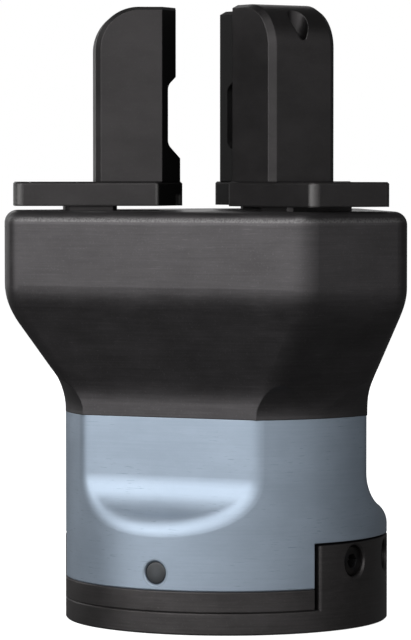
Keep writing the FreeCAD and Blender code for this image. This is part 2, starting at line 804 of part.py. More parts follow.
def head_plan(inset, z0, z1):
    """The head's six-sided outline, drawn in by inset, as an upright block."""
    end = END_REACH - inset
    side = SIDE_REACH - inset
    half = (side - end * math.cos(math.radians(60))) / math.sin(math.radians(60))
    points = []
    for angle in JAW_ANGLES:
        along = place(1, angle)
        across = UP.cross(along)
        for sign in (-1, 1):
            corner = along * end + across * (sign * half)
            points.append((corner.x, corner.y))
    shape = prism(points, z0, z1)
    corners = edges_where(shape, lambda e: e.BoundBox.ZLength > 0.01)
    return shape.makeFillet(TOP_COVER_CORNER_R, corners)


def on_top_cover(shape):
    """Copies of a screw or its hole at each place in the top cover."""
    out = SIDE_REACH - TOP_COVER_INSET - TOP_SCREW_INSET
    return [
        turned(upright(shape, V(out, sign * TOP_SCREW_SPREAD, 0), Z_HEAD), angle)
        for angle in SIDE_ANGLES for sign in (-1, 1)
    ]


def top_cover():
    shape = head_plan(TOP_COVER_INSET + TOP_COVER_FIT, Z_POCKET_TOP, Z_HEAD)
    half = BOSS_W / 2 + SLOT_SIDE_GAP
    slot = block(SLOT_IN, SLOT_OUT, -half, half, Z_POCKET_TOP, Z_HEAD)
    slot = slot.makeFillet(SLOT_CORNER_R, edges_where(slot, lambda e: e.BoundBox.ZLength > 1))
    tools = [turned(slot, angle) for angle in JAW_ANGLES]
    return cut_all(shape, tools + on_top_cover(countersunk(M3, TOP_SCREW_L, SCREW_FIT)))


def top_cover_screws():
    return on_top_cover(countersunk(M3, TOP_SCREW_L))


def head_channel():
    """The trough that one jaw travels in, with room for its rack on one side."""
    trough = block(0, CHANNEL_END, -CHANNEL_HALF_W, CHANNEL_HALF_W, Z_FLOOR, Z_POCKET_TOP)
    rack_end = RACK_OUT + CHANNEL_END_GAP
    beside = block(0, rack_end, 0, RACK_BACK_Y + RACK_ROOM, Z_FLOOR, Z_POCKET_TOP)
    return fused([trough, beside])


def head_housing():
    tools = [
        rod(CAVITY_R, Z_BODY, Z_CEILING),
        rod(BEARING_LIP_R, Z_CEILING, Z_FLOOR),
        rod(OUT_BEARING_R + PRESS_GAP, Z_CEILING, Z_CEILING + OUT_BEARING_W),
        rod(POCKET_R, Z_FLOOR, Z_POCKET_TOP),
        head_plan(TOP_COVER_INSET, Z_POCKET_TOP, Z_HEAD),
        seal_groove(HEAD_SEAL_GROOVE, Z_BODY),
    ]
    tools += [turned(head_channel(), angle) for angle in JAW_ANGLES]
    tools += on_top_cover(countersunk(M3, TOP_SCREW_L + THREAD_RUNOUT, SCREW_FIT))
    tools += on_ties(screw_hole(M4, tie_bolt_length()))
    tools += on_rails(screw_hole(M2_5, RAIL_SCREW_L))
    tools += on_gearbox(screw_hole(M3, gearbox_screw_length()))
    return cut_all(head_outside(), tools)


def on_rails(shape):
    """Copies of a screw or its hole at each place in the guide rails."""
    seat = Z_FLOOR + RAIL_H - M2_5.head_h
    return [
        turned(upright(shape, V(out, 0, 0), seat), angle)
        for angle in JAW_ANGLES for out in RAIL_SCREW_PLACES
    ]


def rail_section(gap):
    """The rail's cross-section swept along its channel, or the room for it."""
    half = RAIL_W / 2 + gap
    groove_z = Z_FLOOR + RAIL_GROOVE_Z + gap
    bar = block(RAIL_IN, RAIL_OUT, -half, half, Z_FLOOR, Z_FLOOR + RAIL_H + gap)
    grooves = [
        block(RAIL_IN, RAIL_OUT, y0, y0 + RAIL_GROOVE_DEPTH, groove_z, groove_z + RAIL_GROOVE_H - 2 * gap)
        for y0 in (-half, half - RAIL_GROOVE_DEPTH)
    ]
    return cut_all(bar, grooves)


def guide_rails():
    rails = [turned(rail_section(0), angle) for angle in JAW_ANGLES]
    holes = on_rails(screw_hole(M2_5, RAIL_SCREW_L, FAR))
    return [cut_all(rail, holes) for rail in rails]


def rail_screws():
    return on_rails(screw(M2_5, RAIL_SCREW_L))


def carriage():
    """The block that runs on a rail and carries a jaw."""
    outer = SLIDE_OUT - CHANNEL_END_GAP / 2
    half = CARRIAGE_W / 2
    shape = block(outer - CARRIAGE_L, outer, -half, half, Z_CARRIAGE, Z_SLIDE)
    room = rail_section(RAIL_FIT)
    room = fused([room, *[moved(room, V(shift, 0, 0)) for shift in (-JAW_STROKE, JAW_STROKE)]])
    return cut_all(shape, [room] + on_carriage(screw_hole(M2_5, carriage_screw_length())))


def moved(shape, by):
    copy = shape.copy()
    copy.translate(by)
    return copy


def carriage_screw_length():
    return Z_SHIELD_TOP - M2_5.head_h - Z_SLIDE + CARRIAGE_SCREW_GRIP


def on_carriage(shape):
    out = SLIDE_OUT - CARRIAGE_SCREW_INSET
    seat = Z_SHIELD_TOP - M2_5.head_h
    return [upright(shape, V(out, sign * CARRIAGE_SCREW_SPREAD, 0), seat) for sign in (-1, 1)]


def on_rack(shape):
    """Copies of a screw or its hole laid across the rack, heads on its back."""
    seat = RACK_BACK_Y - M2_5.head_h
    copies = []
    for out in RACK_SCREW_PLACES:
        copy = shape.copy()
        copy.rotate(V(0, 0, 0), V(1, 0, 0), -90)
        copies.append(moved(copy, V(out, seat, (Z_RACK + Z_RACK_TOP) / 2)))
    return copies


def rack_screw_length():
    return RACK_BACK_Y - M2_5.head_h - RACK_TIP + RACK_SCREW_GRIP


def on_plate(shape):
    """Copies of a screw or its hole that holds the jaw plate on its slide."""
    seat = Z_FINGER - M4_LOW.head_h
    return [upright(shape, V(PLATE_SCREW_OUT, sign * PLATE_SCREW_SPREAD, 0), seat) for sign in (-1, 1)]


def plate_screw_length():
    return PLATE_T - M4_LOW.head_h + PLATE_SCREW_GRIP


def on_finger(shape):
    """Copies of a screw or its hole that holds the finger from under the plate."""
    return [hanging(shape, V(out, 0, 0), Z_PLATE + M4_LOW.head_h) for out in FINGER_SCREW_PLACES]


def jaw_slide():
    """Links a carriage and its rack to the jaw plate above the head."""
    half = CARRIAGE_W / 2
    body = block(SLIDE_OUT - SLIDE_L, SLIDE_OUT, -half, RACK_TIP, Z_SLIDE, Z_SHIELD)
    shield = block(SLIDE_OUT - SHIELD_L, SLIDE_OUT, -SHIELD_W / 2, SHIELD_W / 2, Z_SHIELD, Z_SHIELD_TOP)
    boss = block(BOSS_OUT - BOSS_L, BOSS_OUT, -BOSS_W / 2, BOSS_W / 2, Z_SHIELD_TOP, Z_PLATE)
    boss = boss.makeChamfer(BOSS_CHAMFER, edges_where(boss, lambda e: e.BoundBox.ZLength > 1))
    tools = on_plate(screw_hole(M4_LOW, plate_screw_length()))
    tools += on_carriage(screw_hole(M2_5, carriage_screw_length(), FAR))
    tools += on_rack(screw_hole(M2_5, rack_screw_length()))
    return cut_all(fused([body, shield, boss]), tools)


def rack():
    """A straight toothed bar beside the pinion, bolted to its jaw slide."""
    bar = block(RACK_IN, RACK_OUT, RACK_TIP, RACK_BACK_Y, Z_RACK, Z_RACK_TOP)
    lean = math.tan(math.radians(PRESSURE_ANGLE))
    half = RACK_PITCH / 4 + TOOTH_THINNING / 2
    mouth = half + (PITCH_R - RACK_TIP) * lean
    floor = half - (RACK_ROOT - PITCH_R) * lean
    last = math.ceil(JAW_STROKE / RACK_PITCH) + 2
    gaps = []
    for index in range(-1, last + 1):
        mid = index * RACK_PITCH
        outline = [
            (mid - mouth, RACK_TIP), (mid + mouth, RACK_TIP),
            (mid + floor, RACK_ROOT), (mid - floor, RACK_ROOT),
        ]
        gaps.append(prism(outline, Z_RACK, Z_RACK_TOP))
    return cut_all(bar, gaps + on_rack(screw_hole(M2_5, rack_screw_length(), FAR)))


def wedge_corner(half):
    """How far out the inner wedge of a jaw ends, at half its width."""
    return PLATE_IN + half / TAN_60


def jaw_plate():
    half = PLATE_W / 2
    wedge = wedge_corner(half)
    outline = [(PLATE_IN, 0), (wedge, -half), (PLATE_OUT, -half), (PLATE_OUT, half), (wedge, half)]
    shape = prism(outline, Z_PLATE, Z_FINGER)
    corners = edges_where(shape, lambda e: e.BoundBox.ZLength > 1 and e.BoundBox.XMin > PLATE_OUT - 0.01)
    shape = shape.makeFillet(PLATE_CORNER_R, corners)
    corners = edges_where(shape, lambda e: (
        e.BoundBox.ZLength > 1 and abs(e.BoundBox.XMin - wedge) < 0.01 and e.BoundBox.XLength < 0.01
    ))
    shape = shape.makeFillet(PLATE_WEDGE_R, corners)
    shape = shape.makeChamfer(PLATE_EDGE, edges_where(shape, lambda e: e.BoundBox.ZMin > Z_FINGER - 0.01))
    tools = on_plate(screw_hole(M4_LOW, plate_screw_length(), FAR))
    tools += on_finger(screw_hole(M4_LOW, FINGER_SCREW_L, FAR))
    for out in GROOVE_PLACES:
        notch = [V(out - GROOVE_W / 2, -half, Z_FINGER), V(out + GROOVE_W / 2, -half, Z_FINGER),
                 V(out, -half, Z_FINGER - GROOVE_DEPTH)]
        tools.append(Part.Face(Part.makePolygon(notch + notch[:1])).extrude(V(0, PLATE_W, 0)))
    return cut_all(shape, tools)


def finger_front_cut():
    """What is cut straight across the finger's ridge: it leaves the nose, the relief and the lip."""
    floor = FINGER_IN + RELIEF_DEPTH
    lip = FINGER_IN + LIP_INSET
    lip_foot = FINGER_H - LIP_H
    profile = [
        (0, 0), (FINGER_IN, 0), (FINGER_IN, FINGER_NOSE_H), (floor, FINGER_NOSE_H + RELIEF_DEPTH),
        (floor, lip_foot - floor + lip), (lip, lip_foot), (lip, FINGER_H), (0, FINGER_H),
    ]
    points = [V(out, -FAR, Z_FINGER + height) for out, height in profile]
    tool = Part.Face(Part.makePolygon(points + points[:1])).extrude(V(0, 2 * FAR, 0))
    corners = edges_where(tool, lambda e: e.BoundBox.YLength > 1 and e.BoundBox.XMin > floor - 0.01)
    return tool.makeFillet(RELIEF_CORNER_R, corners)


def finger_hole():
    """A drilled hole in the finger's top, with the drill's cone at its foot."""
    out = FINGER_OUT - FINGER_HOLE_BACK
    foot = Z_TOP - FINGER_HOLE_DEPTH
    tip = foot - FINGER_HOLE_R / math.tan(math.radians(DRILL_ANGLE / 2))
    shape = spun([(0, tip), (FINGER_HOLE_R, foot), (FINGER_HOLE_R, Z_TOP), (0, Z_TOP)])
    return moved(shape, V(out, 0, 0))


def finger_outline(y, back, top, radius):
    """The finger seen from the side, with one rounded corner, as a wire at one depth."""
    turn = radius * (1 - math.cos(math.radians(45)))
    return Part.Wire([
        line(V(0, y, Z_FINGER), V(back, y, Z_FINGER)),
        line(V(back, y, Z_FINGER), V(back, y, top - radius)),
        Part.Arc(V(back, y, top - radius), V(back - turn, y, top - turn), V(back - radius, y, top)).toShape(),
        line(V(back - radius, y, top), V(0, y, top)),
        line(V(0, y, top), V(0, y, Z_FINGER)),
    ])


def finger_blank():
    """The finger before its wedge is cut, bevelled along the back and over the top."""
    half = FINGER_W / 2
    inner = half - FINGER_SIDE_BEVEL
    radius = FINGER_BACK_R - (FINGER_BACK_BEVEL + FINGER_TOP_BEVEL) / 2
    core = Part.Face(finger_outline(-inner, FINGER_OUT, Z_TOP, FINGER_BACK_R)).extrude(V(0, 2 * inner, 0))
    sides = []
    for sign in (-1, 1):
        low = finger_outline(sign * inner, FINGER_OUT, Z_TOP, FINGER_BACK_R)
        high = finger_outline(sign * half, FINGER_OUT - FINGER_BACK_BEVEL, Z_TOP - FINGER_TOP_BEVEL, radius)
        sides.append(Part.makeLoft([low, high], True, True))
    return core.fuse(sides).removeSplitter()


def finger():
    reach = wedge_corner(FAR)
    wedge = prism([(PLATE_IN, 0), (reach, -FAR), (-FAR, -FAR), (-FAR, FAR), (reach, FAR)], 0, 2 * FAR)
    shape = cut_all(finger_blank(), [wedge, finger_front_cut()])
    rims = edges_where(shape, lambda e: (
        e.BoundBox.ZMin > Z_TOP - 0.01 and e.BoundBox.XLength > 1 and e.BoundBox.YLength > 1
    ))
    shape = shape.makeChamfer(WEDGE_TOP_CHAMFER, rims)
    return cut_all(shape, [finger_hole()] + on_finger(screw_hole(M4_LOW, FINGER_SCREW_L)))


def jaw_screws():
    screws = on_plate(screw(M4_LOW, plate_screw_length()))
    screws += on_finger(screw(M4_LOW, FINGER_SCREW_L))
    screws += on_rack(screw(M2_5, rack_screw_length()))
    screws += on_carriage(screw(M2_5, carriage_screw_length()))
    return screws


def gear(module, teeth, addendum, dedendum, thinning, z0, z1):
    """A spur gear with involute flanks in straight runs and one tooth centred on X."""
    pitch_r = module * teeth / 2
    pressure = math.radians(PRESSURE_ANGLE)
    base_r = pitch_r * math.cos(pressure)
    tip_r = pitch_r + addendum
    root_r = pitch_r - dedendum
    pitch_half = math.pi / (2 * teeth) - thinning / (2 * pitch_r)

    def half_angle(radius):
        turn = math.acos(min(1.0, base_r / radius))
        return pitch_half + math.tan(pressure) - pressure - (math.tan(turn) - turn)

    start_r = max(base_r, root_r)
    flank = [start_r, (start_r + pitch_r) / 2, (pitch_r + tip_r) / 2, tip_r]
    side = [(radius, half_angle(radius)) for radius in flank]
    if root_r < base_r:
        side.insert(0, (root_r, half_angle(base_r)))
    tooth = [(radius, -turn) for radius, turn in side] + [(radius, turn) for radius, turn in reversed(side)]
    points = []
    for index in range(teeth):
        centre = 2 * math.pi * index / teeth
        points += [(r * math.cos(centre + turn), r * math.sin(centre + turn)) for r, turn in tooth]
    return prism(points, z0, z1)


def drive_pinion():
    shape = gear(
        RACK_MODULE, PINION_TEETH, RACK_MODULE, (1 + ROOT_GAP) * RACK_MODULE,
        TOOTH_THINNING, Z_PINION, Z_PINION_TOP,
    )
    bored = shape.cut(rod(PINION_SEAT_R + PRESS_GAP, Z_PINION, Z_PINION_TOP))
    return turned(bored, JAW_ANGLES[0] + 90.0)


def stub_gear(teeth, bore_r):
    shape = gear(
        GEAR_MODULE, teeth, STUB * GEAR_MODULE, (STUB + ROOT_GAP) * GEAR_MODULE,
        TOOTH_THINNING, Z_GEARS, Z_GEARS_TOP,
    )
    return shape.cut(rod(bore_r, Z_GEARS, Z_GEARS_TOP))


def planet_gear(angle):
    return turned(moved(stub_gear(PLANET_TEETH, PIN_R + RUN_FIT), V(PLANET_PLACE_R, 0, 0)), angle)


def sun_gear():
    return turned(stub_gear(SUN_TEETH, MOTOR_SHAFT_R + PRESS_GAP), JAW_ANGLES[0])


def ring_gear():
    space = gear(
        GEAR_MODULE, RING_TEETH, (STUB + ROOT_GAP) * GEAR_MODULE, STUB * GEAR_MODULE,
        -TOOTH_THINNING, Z_RING_GEAR, Z_GEARBOX_FLANGE,
    )
    return rod(RING_GEAR_R, Z_RING_GEAR, Z_GEARBOX_FLANGE).cut(turned(space, JAW_ANGLES[0]))


def planet_pins():
    top = Z_CARRIER + PIN_GRIP
    return [
        rod(PIN_R, Z_GEARS - PIN_TAIL, top, place(PLANET_PLACE_R, angle)) for angle in JAW_ANGLES
    ]


def planet_carrier():
    """The disc that holds the planets' pins, in one piece with the output shaft."""
    disc = rod(CARRIER_R, Z_CARRIER, Z_CARRIER_TOP)
    shaft = rod(DRIVE_SHAFT_R, Z_CARRIER_TOP, Z_PINION)
    seat = rod(PINION_SEAT_R, Z_PINION, Z_PINION_TOP)
    holes = [
        rod(PIN_R + PRESS_GAP, Z_CARRIER, Z_CARRIER + PIN_GRIP, place(PLANET_PLACE_R, angle))
        for angle in JAW_ANGLES
    ]
    holes.append(upright(screw_hole(PINION_SCREW, PINION_SCREW_L), V(0, 0, 0), Z_PINION_TOP))
    return cut_all(fused([disc, shaft, seat]), holes)


def pinion_screw():
    return upright(screw(PINION_SCREW, PINION_SCREW_L), V(0, 0, 0), Z_PINION_TOP)


def bearing(outer_r, inner_r, width, z0):
    """A shielded ball bearing: plain rings with the shield a little below their faces."""
    wall = (outer_r - inner_r) / 4
    step = BEARING_SHIELD_STEP
    z1 = z0 + width
    return spun([
        (inner_r, z0), (inner_r + wall, z0), (inner_r + wall, z0 + step), (outer_r - wall, z0 + step),
        (outer_r - wall, z0), (outer_r, z0), (outer_r, z1), (outer_r - wall, z1),
        (outer_r - wall, z1 - step), (inner_r + wall, z1 - step), (inner_r + wall, z1), (inner_r, z1),
    ])


def output_bearings():
    inner_r = DRIVE_SHAFT_R + RUN_FIT
    return [
        bearing(OUT_BEARING_R, inner_r, OUT_BEARING_W, z0)
        for z0 in (Z_CEILING - OUT_BEARING_W, Z_CEILING)
    ]


def gearbox_screw_length():
    return Z_CEILING + GEARBOX_SCREW_GRIP - Z_MOTOR_PLATE


def on_gearbox(shape):
    """Copies of a long screw or its hole from under the motor plate up to the head."""
    return [hanging(shape, place(GEARBOX_SCREW_R, angle), Z_MOTOR_PLATE) for angle in GEARBOX_SCREW_ANGLES]


def gearbox_screws():
    return on_gearbox(screw(M3, gearbox_screw_length()))


def gearbox_flange():
    shape = rod(GEARBOX_FLANGE_R, Z_GEARBOX_FLANGE, Z_CEILING)
    tools = [
        rod(BEARING_LIP_R, Z_GEARBOX_FLANGE, Z_CEILING),
        rod(OUT_BEARING_R + PRESS_GAP, Z_CEILING - OUT_BEARING_W, Z_CEILING),
    ]
    return cut_all(shape, tools + on_gearbox(screw_hole(M3, gearbox_screw_length())))


def motor_plate():
    shape = rod(GEARBOX_FLANGE_R, Z_MOTOR_PLATE, Z_RING_GEAR)
    tools = [
        rod(MOTOR_LIP_R, Z_MOTOR_PLATE, Z_RING_GEAR),
        rod(MOTOR_BEARING_R + PRESS_GAP, Z_RING_GEAR - MOTOR_BEARING_W, Z_RING_GEAR),
    ]
    return cut_all(shape, tools + on_gearbox(screw_hole(M3, gearbox_screw_length())))


def motor_bearings():
    inner_r = MOTOR_SHAFT_R + RUN_FIT
    return [
        bearing(MOTOR_BEARING_R, inner_r, MOTOR_BEARING_W, z0)
        for z0 in (Z_CAN - MOTOR_BEARING_W, Z_RING_GEAR - MOTOR_BEARING_W)
    ]


def motor_can():
    return tube(CAN_R, CAN_R - CAN_WALL, Z_CAN, Z_MOTOR_PLATE)


def motor_end_bell():
    tools = [
        rod(MOTOR_LIP_R, Z_BELL, Z_CAN),
        rod(MOTOR_BEARING_R + PRESS_GAP, Z_CAN - MOTOR_BEARING_W, Z_CAN),
    ]
    return cut_all(rod(CAN_R, Z_BELL, Z_CAN), tools)


def pole_angles():
    return [index * 360.0 / POLE_COUNT for index in range(POLE_COUNT)]


def stator_core():
    top = Z_STATOR + STATOR_H
    yoke = tube(STATOR_R, STATOR_R - YOKE_T, Z_STATOR, top)
    pole = block(0, STATOR_R - YOKE_T / 2, -POLE_W / 2, POLE_W / 2, Z_STATOR, top)
    core = fused([yoke] + [turned(pole, angle) for angle in pole_angles()])
    return core.cut(rod(STATOR_BORE_R, Z_STATOR, top))


def stator_windings():
    """One coil round each pole of the stator."""
    inner = STATOR_BORE_R + COIL_IN_GAP
    outer = STATOR_R - YOKE_T - COIL_OUT_GAP
    hole = POLE_W / 2 + SCREW_FIT
    half = hole + COIL_SIDE
    z0 = Z_STATOR - SCREW_FIT
    z1 = Z_STATOR + STATOR_H + SCREW_FIT
    coil = block(inner, outer, -half, half, z0 - COIL_END, z1 + COIL_END)
    coil = coil.cut(block(inner, outer, -hole, hole, z0, z1))
    return [turned(coil, angle) for angle in pole_angles()]


def motor_shaft():
    return rod(MOTOR_SHAFT_R, Z_SHAFT, Z_GEARS_TOP)


def rotor_magnet():
    mid = Z_STATOR + STATOR_H / 2
    return tube(ROTOR_R, MOTOR_SHAFT_R + PRESS_GAP, mid - ROTOR_H / 2, mid + ROTOR_H / 2)


def encoder_magnet():
    return rod(MOTOR_SHAFT_R, Z_SHAFT - MAGNET_H, Z_SHAFT)


def encoder_board():
    half = ENCODER_CHIP / 2
    board = rod(ENCODER_R, Z_ENCODER_TOP - BOARD_T, Z_ENCODER_TOP)
    return [board, block(-half, half, -half, half, Z_ENCODER_TOP, Z_ENCODER_TOP + ENCODER_CHIP_H)]


def board_places():
    return [place(BOARD_POST_PLACE_R, angle) for angle in BOARD_POST_ANGLES]


def board_screw_length():
    return Z_BOARDS_TOP - Z_BOARD_1 + BOARD_SCREW_GRIP


def board_screw_hole():
    return screw_hole(BOARD_SCREW, board_screw_length())


def drilled_board(z0):
    return cut_all(
        rod(BOARD_R, z0, z0 + BOARD_T),
        [upright(board_screw_hole(), at, Z_BOARDS_TOP) for at in board_places()],
    )


def controller_board():
    """The lower board, with the status light at its edge behind the lens."""
    out = BOARD_R - LED_EDGE
    led = block(out - LED_L, out, -LED_W / 2, LED_W / 2, Z_LED, Z_LED + LED_H)
    return [drilled_board(Z_BOARD_1), turned(led, LENS_ANGLE)]


def driver_board():
    return drilled_board(Z_BOARD_2)


def standoffs():
    """Spacers between the two boards, and posts that hang the encoder board."""
    hole_r = BOARD_SCREW.shank_r + SCREW_FIT
    spacers = [tube(BOARD_POST_R, hole_r, Z_LED, Z_BOARD_2, at) for at in board_places()]
    posts = [
        rod(ENCODER_POST_R, Z_ENCODER_TOP, Z_BELL, place(ENCODER_POST_PLACE_R, angle))
        for angle in JAW_ANGLES
    ]
    return spacers + posts


def board_screws():
    return [upright(screw(BOARD_SCREW, board_screw_length()), at, Z_BOARDS_TOP) for at in board_places()]


def fixed_nodes():
    return {
        "mounting_flange": mounting_flange(),
        "flange_screws": flange_screws(),
        "base_cover": base_cover(),
        "base_cover_screws": base_cover_screws(),
        "seals": [seal(BASE_SEAL_R, Z_COVER - SEAL_T), seal(HEAD_SEAL_R, Z_BODY)],
        "body_housing": body_housing(),
        "tie_bolts": tie_bolts(),
        "head_housing": head_housing(),
        "top_cover": top_cover(),
        "top_cover_screws": top_cover_screws(),
        "status_lens": status_lens(),
        "power_socket": power_socket(),
        "socket_insert": socket_insert(),
        "controller_board": controller_board(),
        "driver_board": driver_board(),
        "standoffs": standoffs(),
        "board_screws": board_screws(),
        "guide_rails": guide_rails(),
        "rail_screws": rail_screws(),
    }


def drive_nodes():
    nodes = {
        "gearbox_flange": gearbox_flange(),
        "gearbox_screws": gearbox_screws(),
        "ring_gear": ring_gear(),
        "output_bearings": output_bearings(),
        "planet_carrier": planet_carrier(),
        "planet_pins": planet_pins(),
        "drive_pinion": drive_pinion(),
        "pinion_screw": pinion_screw(),
        "motor_plate": motor_plate(),
        "motor_can": motor_can(),
        "motor_end_bell": motor_end_bell(),
        "motor_bearings": motor_bearings(),
        "stator_core": stator_core(),
        "stator_windings": stator_windings(),
        "motor_shaft": motor_shaft(),
        "rotor_magnet": rotor_magnet(),
        "sun_gear": sun_gear(),
        "encoder_magnet": encoder_magnet(),
        "encoder_board": encoder_board(),
    }
    for index, angle in enumerate(JAW_ANGLES, start=1):
        nodes[f"planet_gear_{index}"] = planet_gear(angle)
    return nodes


def jaw_nodes():
    pieces = {
        "carriage": [carriage()],
        "jaw_slide": [jaw_slide()],
        "rack": [rack()],
        "jaw_plate": [jaw_plate()],
        "finger": [finger()],
        "jaw_screws": jaw_screws(),
    }
    return {
        f"{name}_{index}": [turned(shape, angle) for shape in shapes]
        for index, angle in enumerate(JAW_ANGLES, start=1)
        for name, shapes in pieces.items()
    }


def main():
    os.makedirs("parts", exist_ok=True)
    for name, made in {**fixed_nodes(), **drive_nodes(), **jaw_nodes()}.items():
        shape = Part.makeCompound(made) if isinstance(made, list) else made
        shape.exportStep(f"parts/{name}.step")
        print(f"{name}: {len(shape.Solids)} solids, {shape.Volume:.0f} mm3, valid {shape.isValid()}")


main()
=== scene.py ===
"""Finishes, small hardware and studio for a three-finger electric gripper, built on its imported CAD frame."""

import logging
import math
from dataclasses import dataclass, replace
from enum import Enum
from typing import Any, Dict, List, Optional, Sequence, Tuple, Union

import bmesh
import bpy
from mathutils import Matrix, Vector


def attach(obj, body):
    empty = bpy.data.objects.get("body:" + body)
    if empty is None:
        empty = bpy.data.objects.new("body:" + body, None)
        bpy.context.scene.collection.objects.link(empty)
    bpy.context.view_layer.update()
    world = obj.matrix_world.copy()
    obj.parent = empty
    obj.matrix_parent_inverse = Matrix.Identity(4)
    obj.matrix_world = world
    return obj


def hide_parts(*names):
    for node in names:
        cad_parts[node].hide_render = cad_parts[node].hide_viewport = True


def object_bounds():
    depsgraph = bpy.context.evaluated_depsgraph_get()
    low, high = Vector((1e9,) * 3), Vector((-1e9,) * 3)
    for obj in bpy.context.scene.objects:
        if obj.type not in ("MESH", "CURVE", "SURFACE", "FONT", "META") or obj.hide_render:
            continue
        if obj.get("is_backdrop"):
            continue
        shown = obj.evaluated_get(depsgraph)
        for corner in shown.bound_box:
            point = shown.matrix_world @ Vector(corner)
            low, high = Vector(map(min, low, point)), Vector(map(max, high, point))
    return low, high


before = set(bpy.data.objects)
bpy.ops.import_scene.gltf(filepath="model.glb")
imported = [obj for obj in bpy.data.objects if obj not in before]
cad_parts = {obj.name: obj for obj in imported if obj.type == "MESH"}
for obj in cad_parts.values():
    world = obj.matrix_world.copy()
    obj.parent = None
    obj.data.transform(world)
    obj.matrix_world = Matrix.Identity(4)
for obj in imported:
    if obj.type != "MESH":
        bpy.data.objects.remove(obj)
log = logging.getLogger("gripper")

MM = 0.001
PHOTO_HEIGHT_PX = 640
# Directions are in degrees from -Y towards +X, heights in millimetres
JAW_ANGLES = (-90.0, 30.0, 150.0)
LENS_ANGLE = -30.0
LENS_Z = 13.7
# How far a rounded normal leans where an edge counts as whole, and the share of that where it starts
EDGE_BEND = 0.22
EDGE_ONSET = 0.09
BEVEL_SAMPLES = 4
BEVEL_FACES = 2
MERGE_DISTANCE = 0.0005 * MM
WALL_LEAN = 0.1
HEXAGON = 6

Colour = Tuple[float, float, float]
Point = Tuple[float, float, float]
Outline = Sequence[Tuple[float, float]]
Settings = Dict[str, Any]
Sockets = Dict[Union[str, int], Any]
Value = Union[float, "Wire"]


def toward(angle: float, reach: float = 1.0, height: float = 0.0) -> Point:
    """The point at a reach and a height in a direction, in degrees from -Y towards +X."""
    turn = math.radians(angle)
    return (reach * math.sin(turn), -reach * math.cos(turn), height)


class Wire:
    """One output of a shader node, which takes part in sums as a number would."""

    def __init__(self, graph: "Graph", socket: bpy.types.NodeSocket) -> None:
        """Keeps the socket and the graph that it belongs to."""
        self.graph = graph
        self.socket = socket

    def _sum(self, operation: str, first: Value, second: Value) -> "Wire":
        """The output of a Math node with two terms."""
        return self.graph.node("ShaderNodeMath", {"operation": operation}, {0: first, 1: second})

    def __add__(self, other: Value) -> "Wire":
        """self + other."""
        return self._sum("ADD", self, other)

    def __radd__(self, other: Value) -> "Wire":
        """other + self."""
        return self._sum("ADD", other, self)

    def __sub__(self, other: Value) -> "Wire":
        """self - other."""
        return self._sum("SUBTRACT", self, other)

    def __rsub__(self, other: Value) -> "Wire":
        """other - self."""
        return self._sum("SUBTRACT", other, self)

    def __mul__(self, other: Value) -> "Wire":
        """self * other."""
        return self._sum("MULTIPLY", self, other)

    def __rmul__(self, other: Value) -> "Wire":
        """other * self."""
        return self._sum("MULTIPLY", other, self)

    def held(self) -> "Wire":
        """The value kept between 0 and 1."""
        return self.graph.node("ShaderNodeClamp", {}, {"Value": self})

    def eased(self, low: float, high: float) -> "Wire":
        """A smooth step from 0 at low to 1 at high."""
        return self.graph.node(
            "ShaderNodeMapRange", {"interpolation_type": "SMOOTHSTEP"},
            {"Value": self, "From Min": low, "From Max": high},
        )


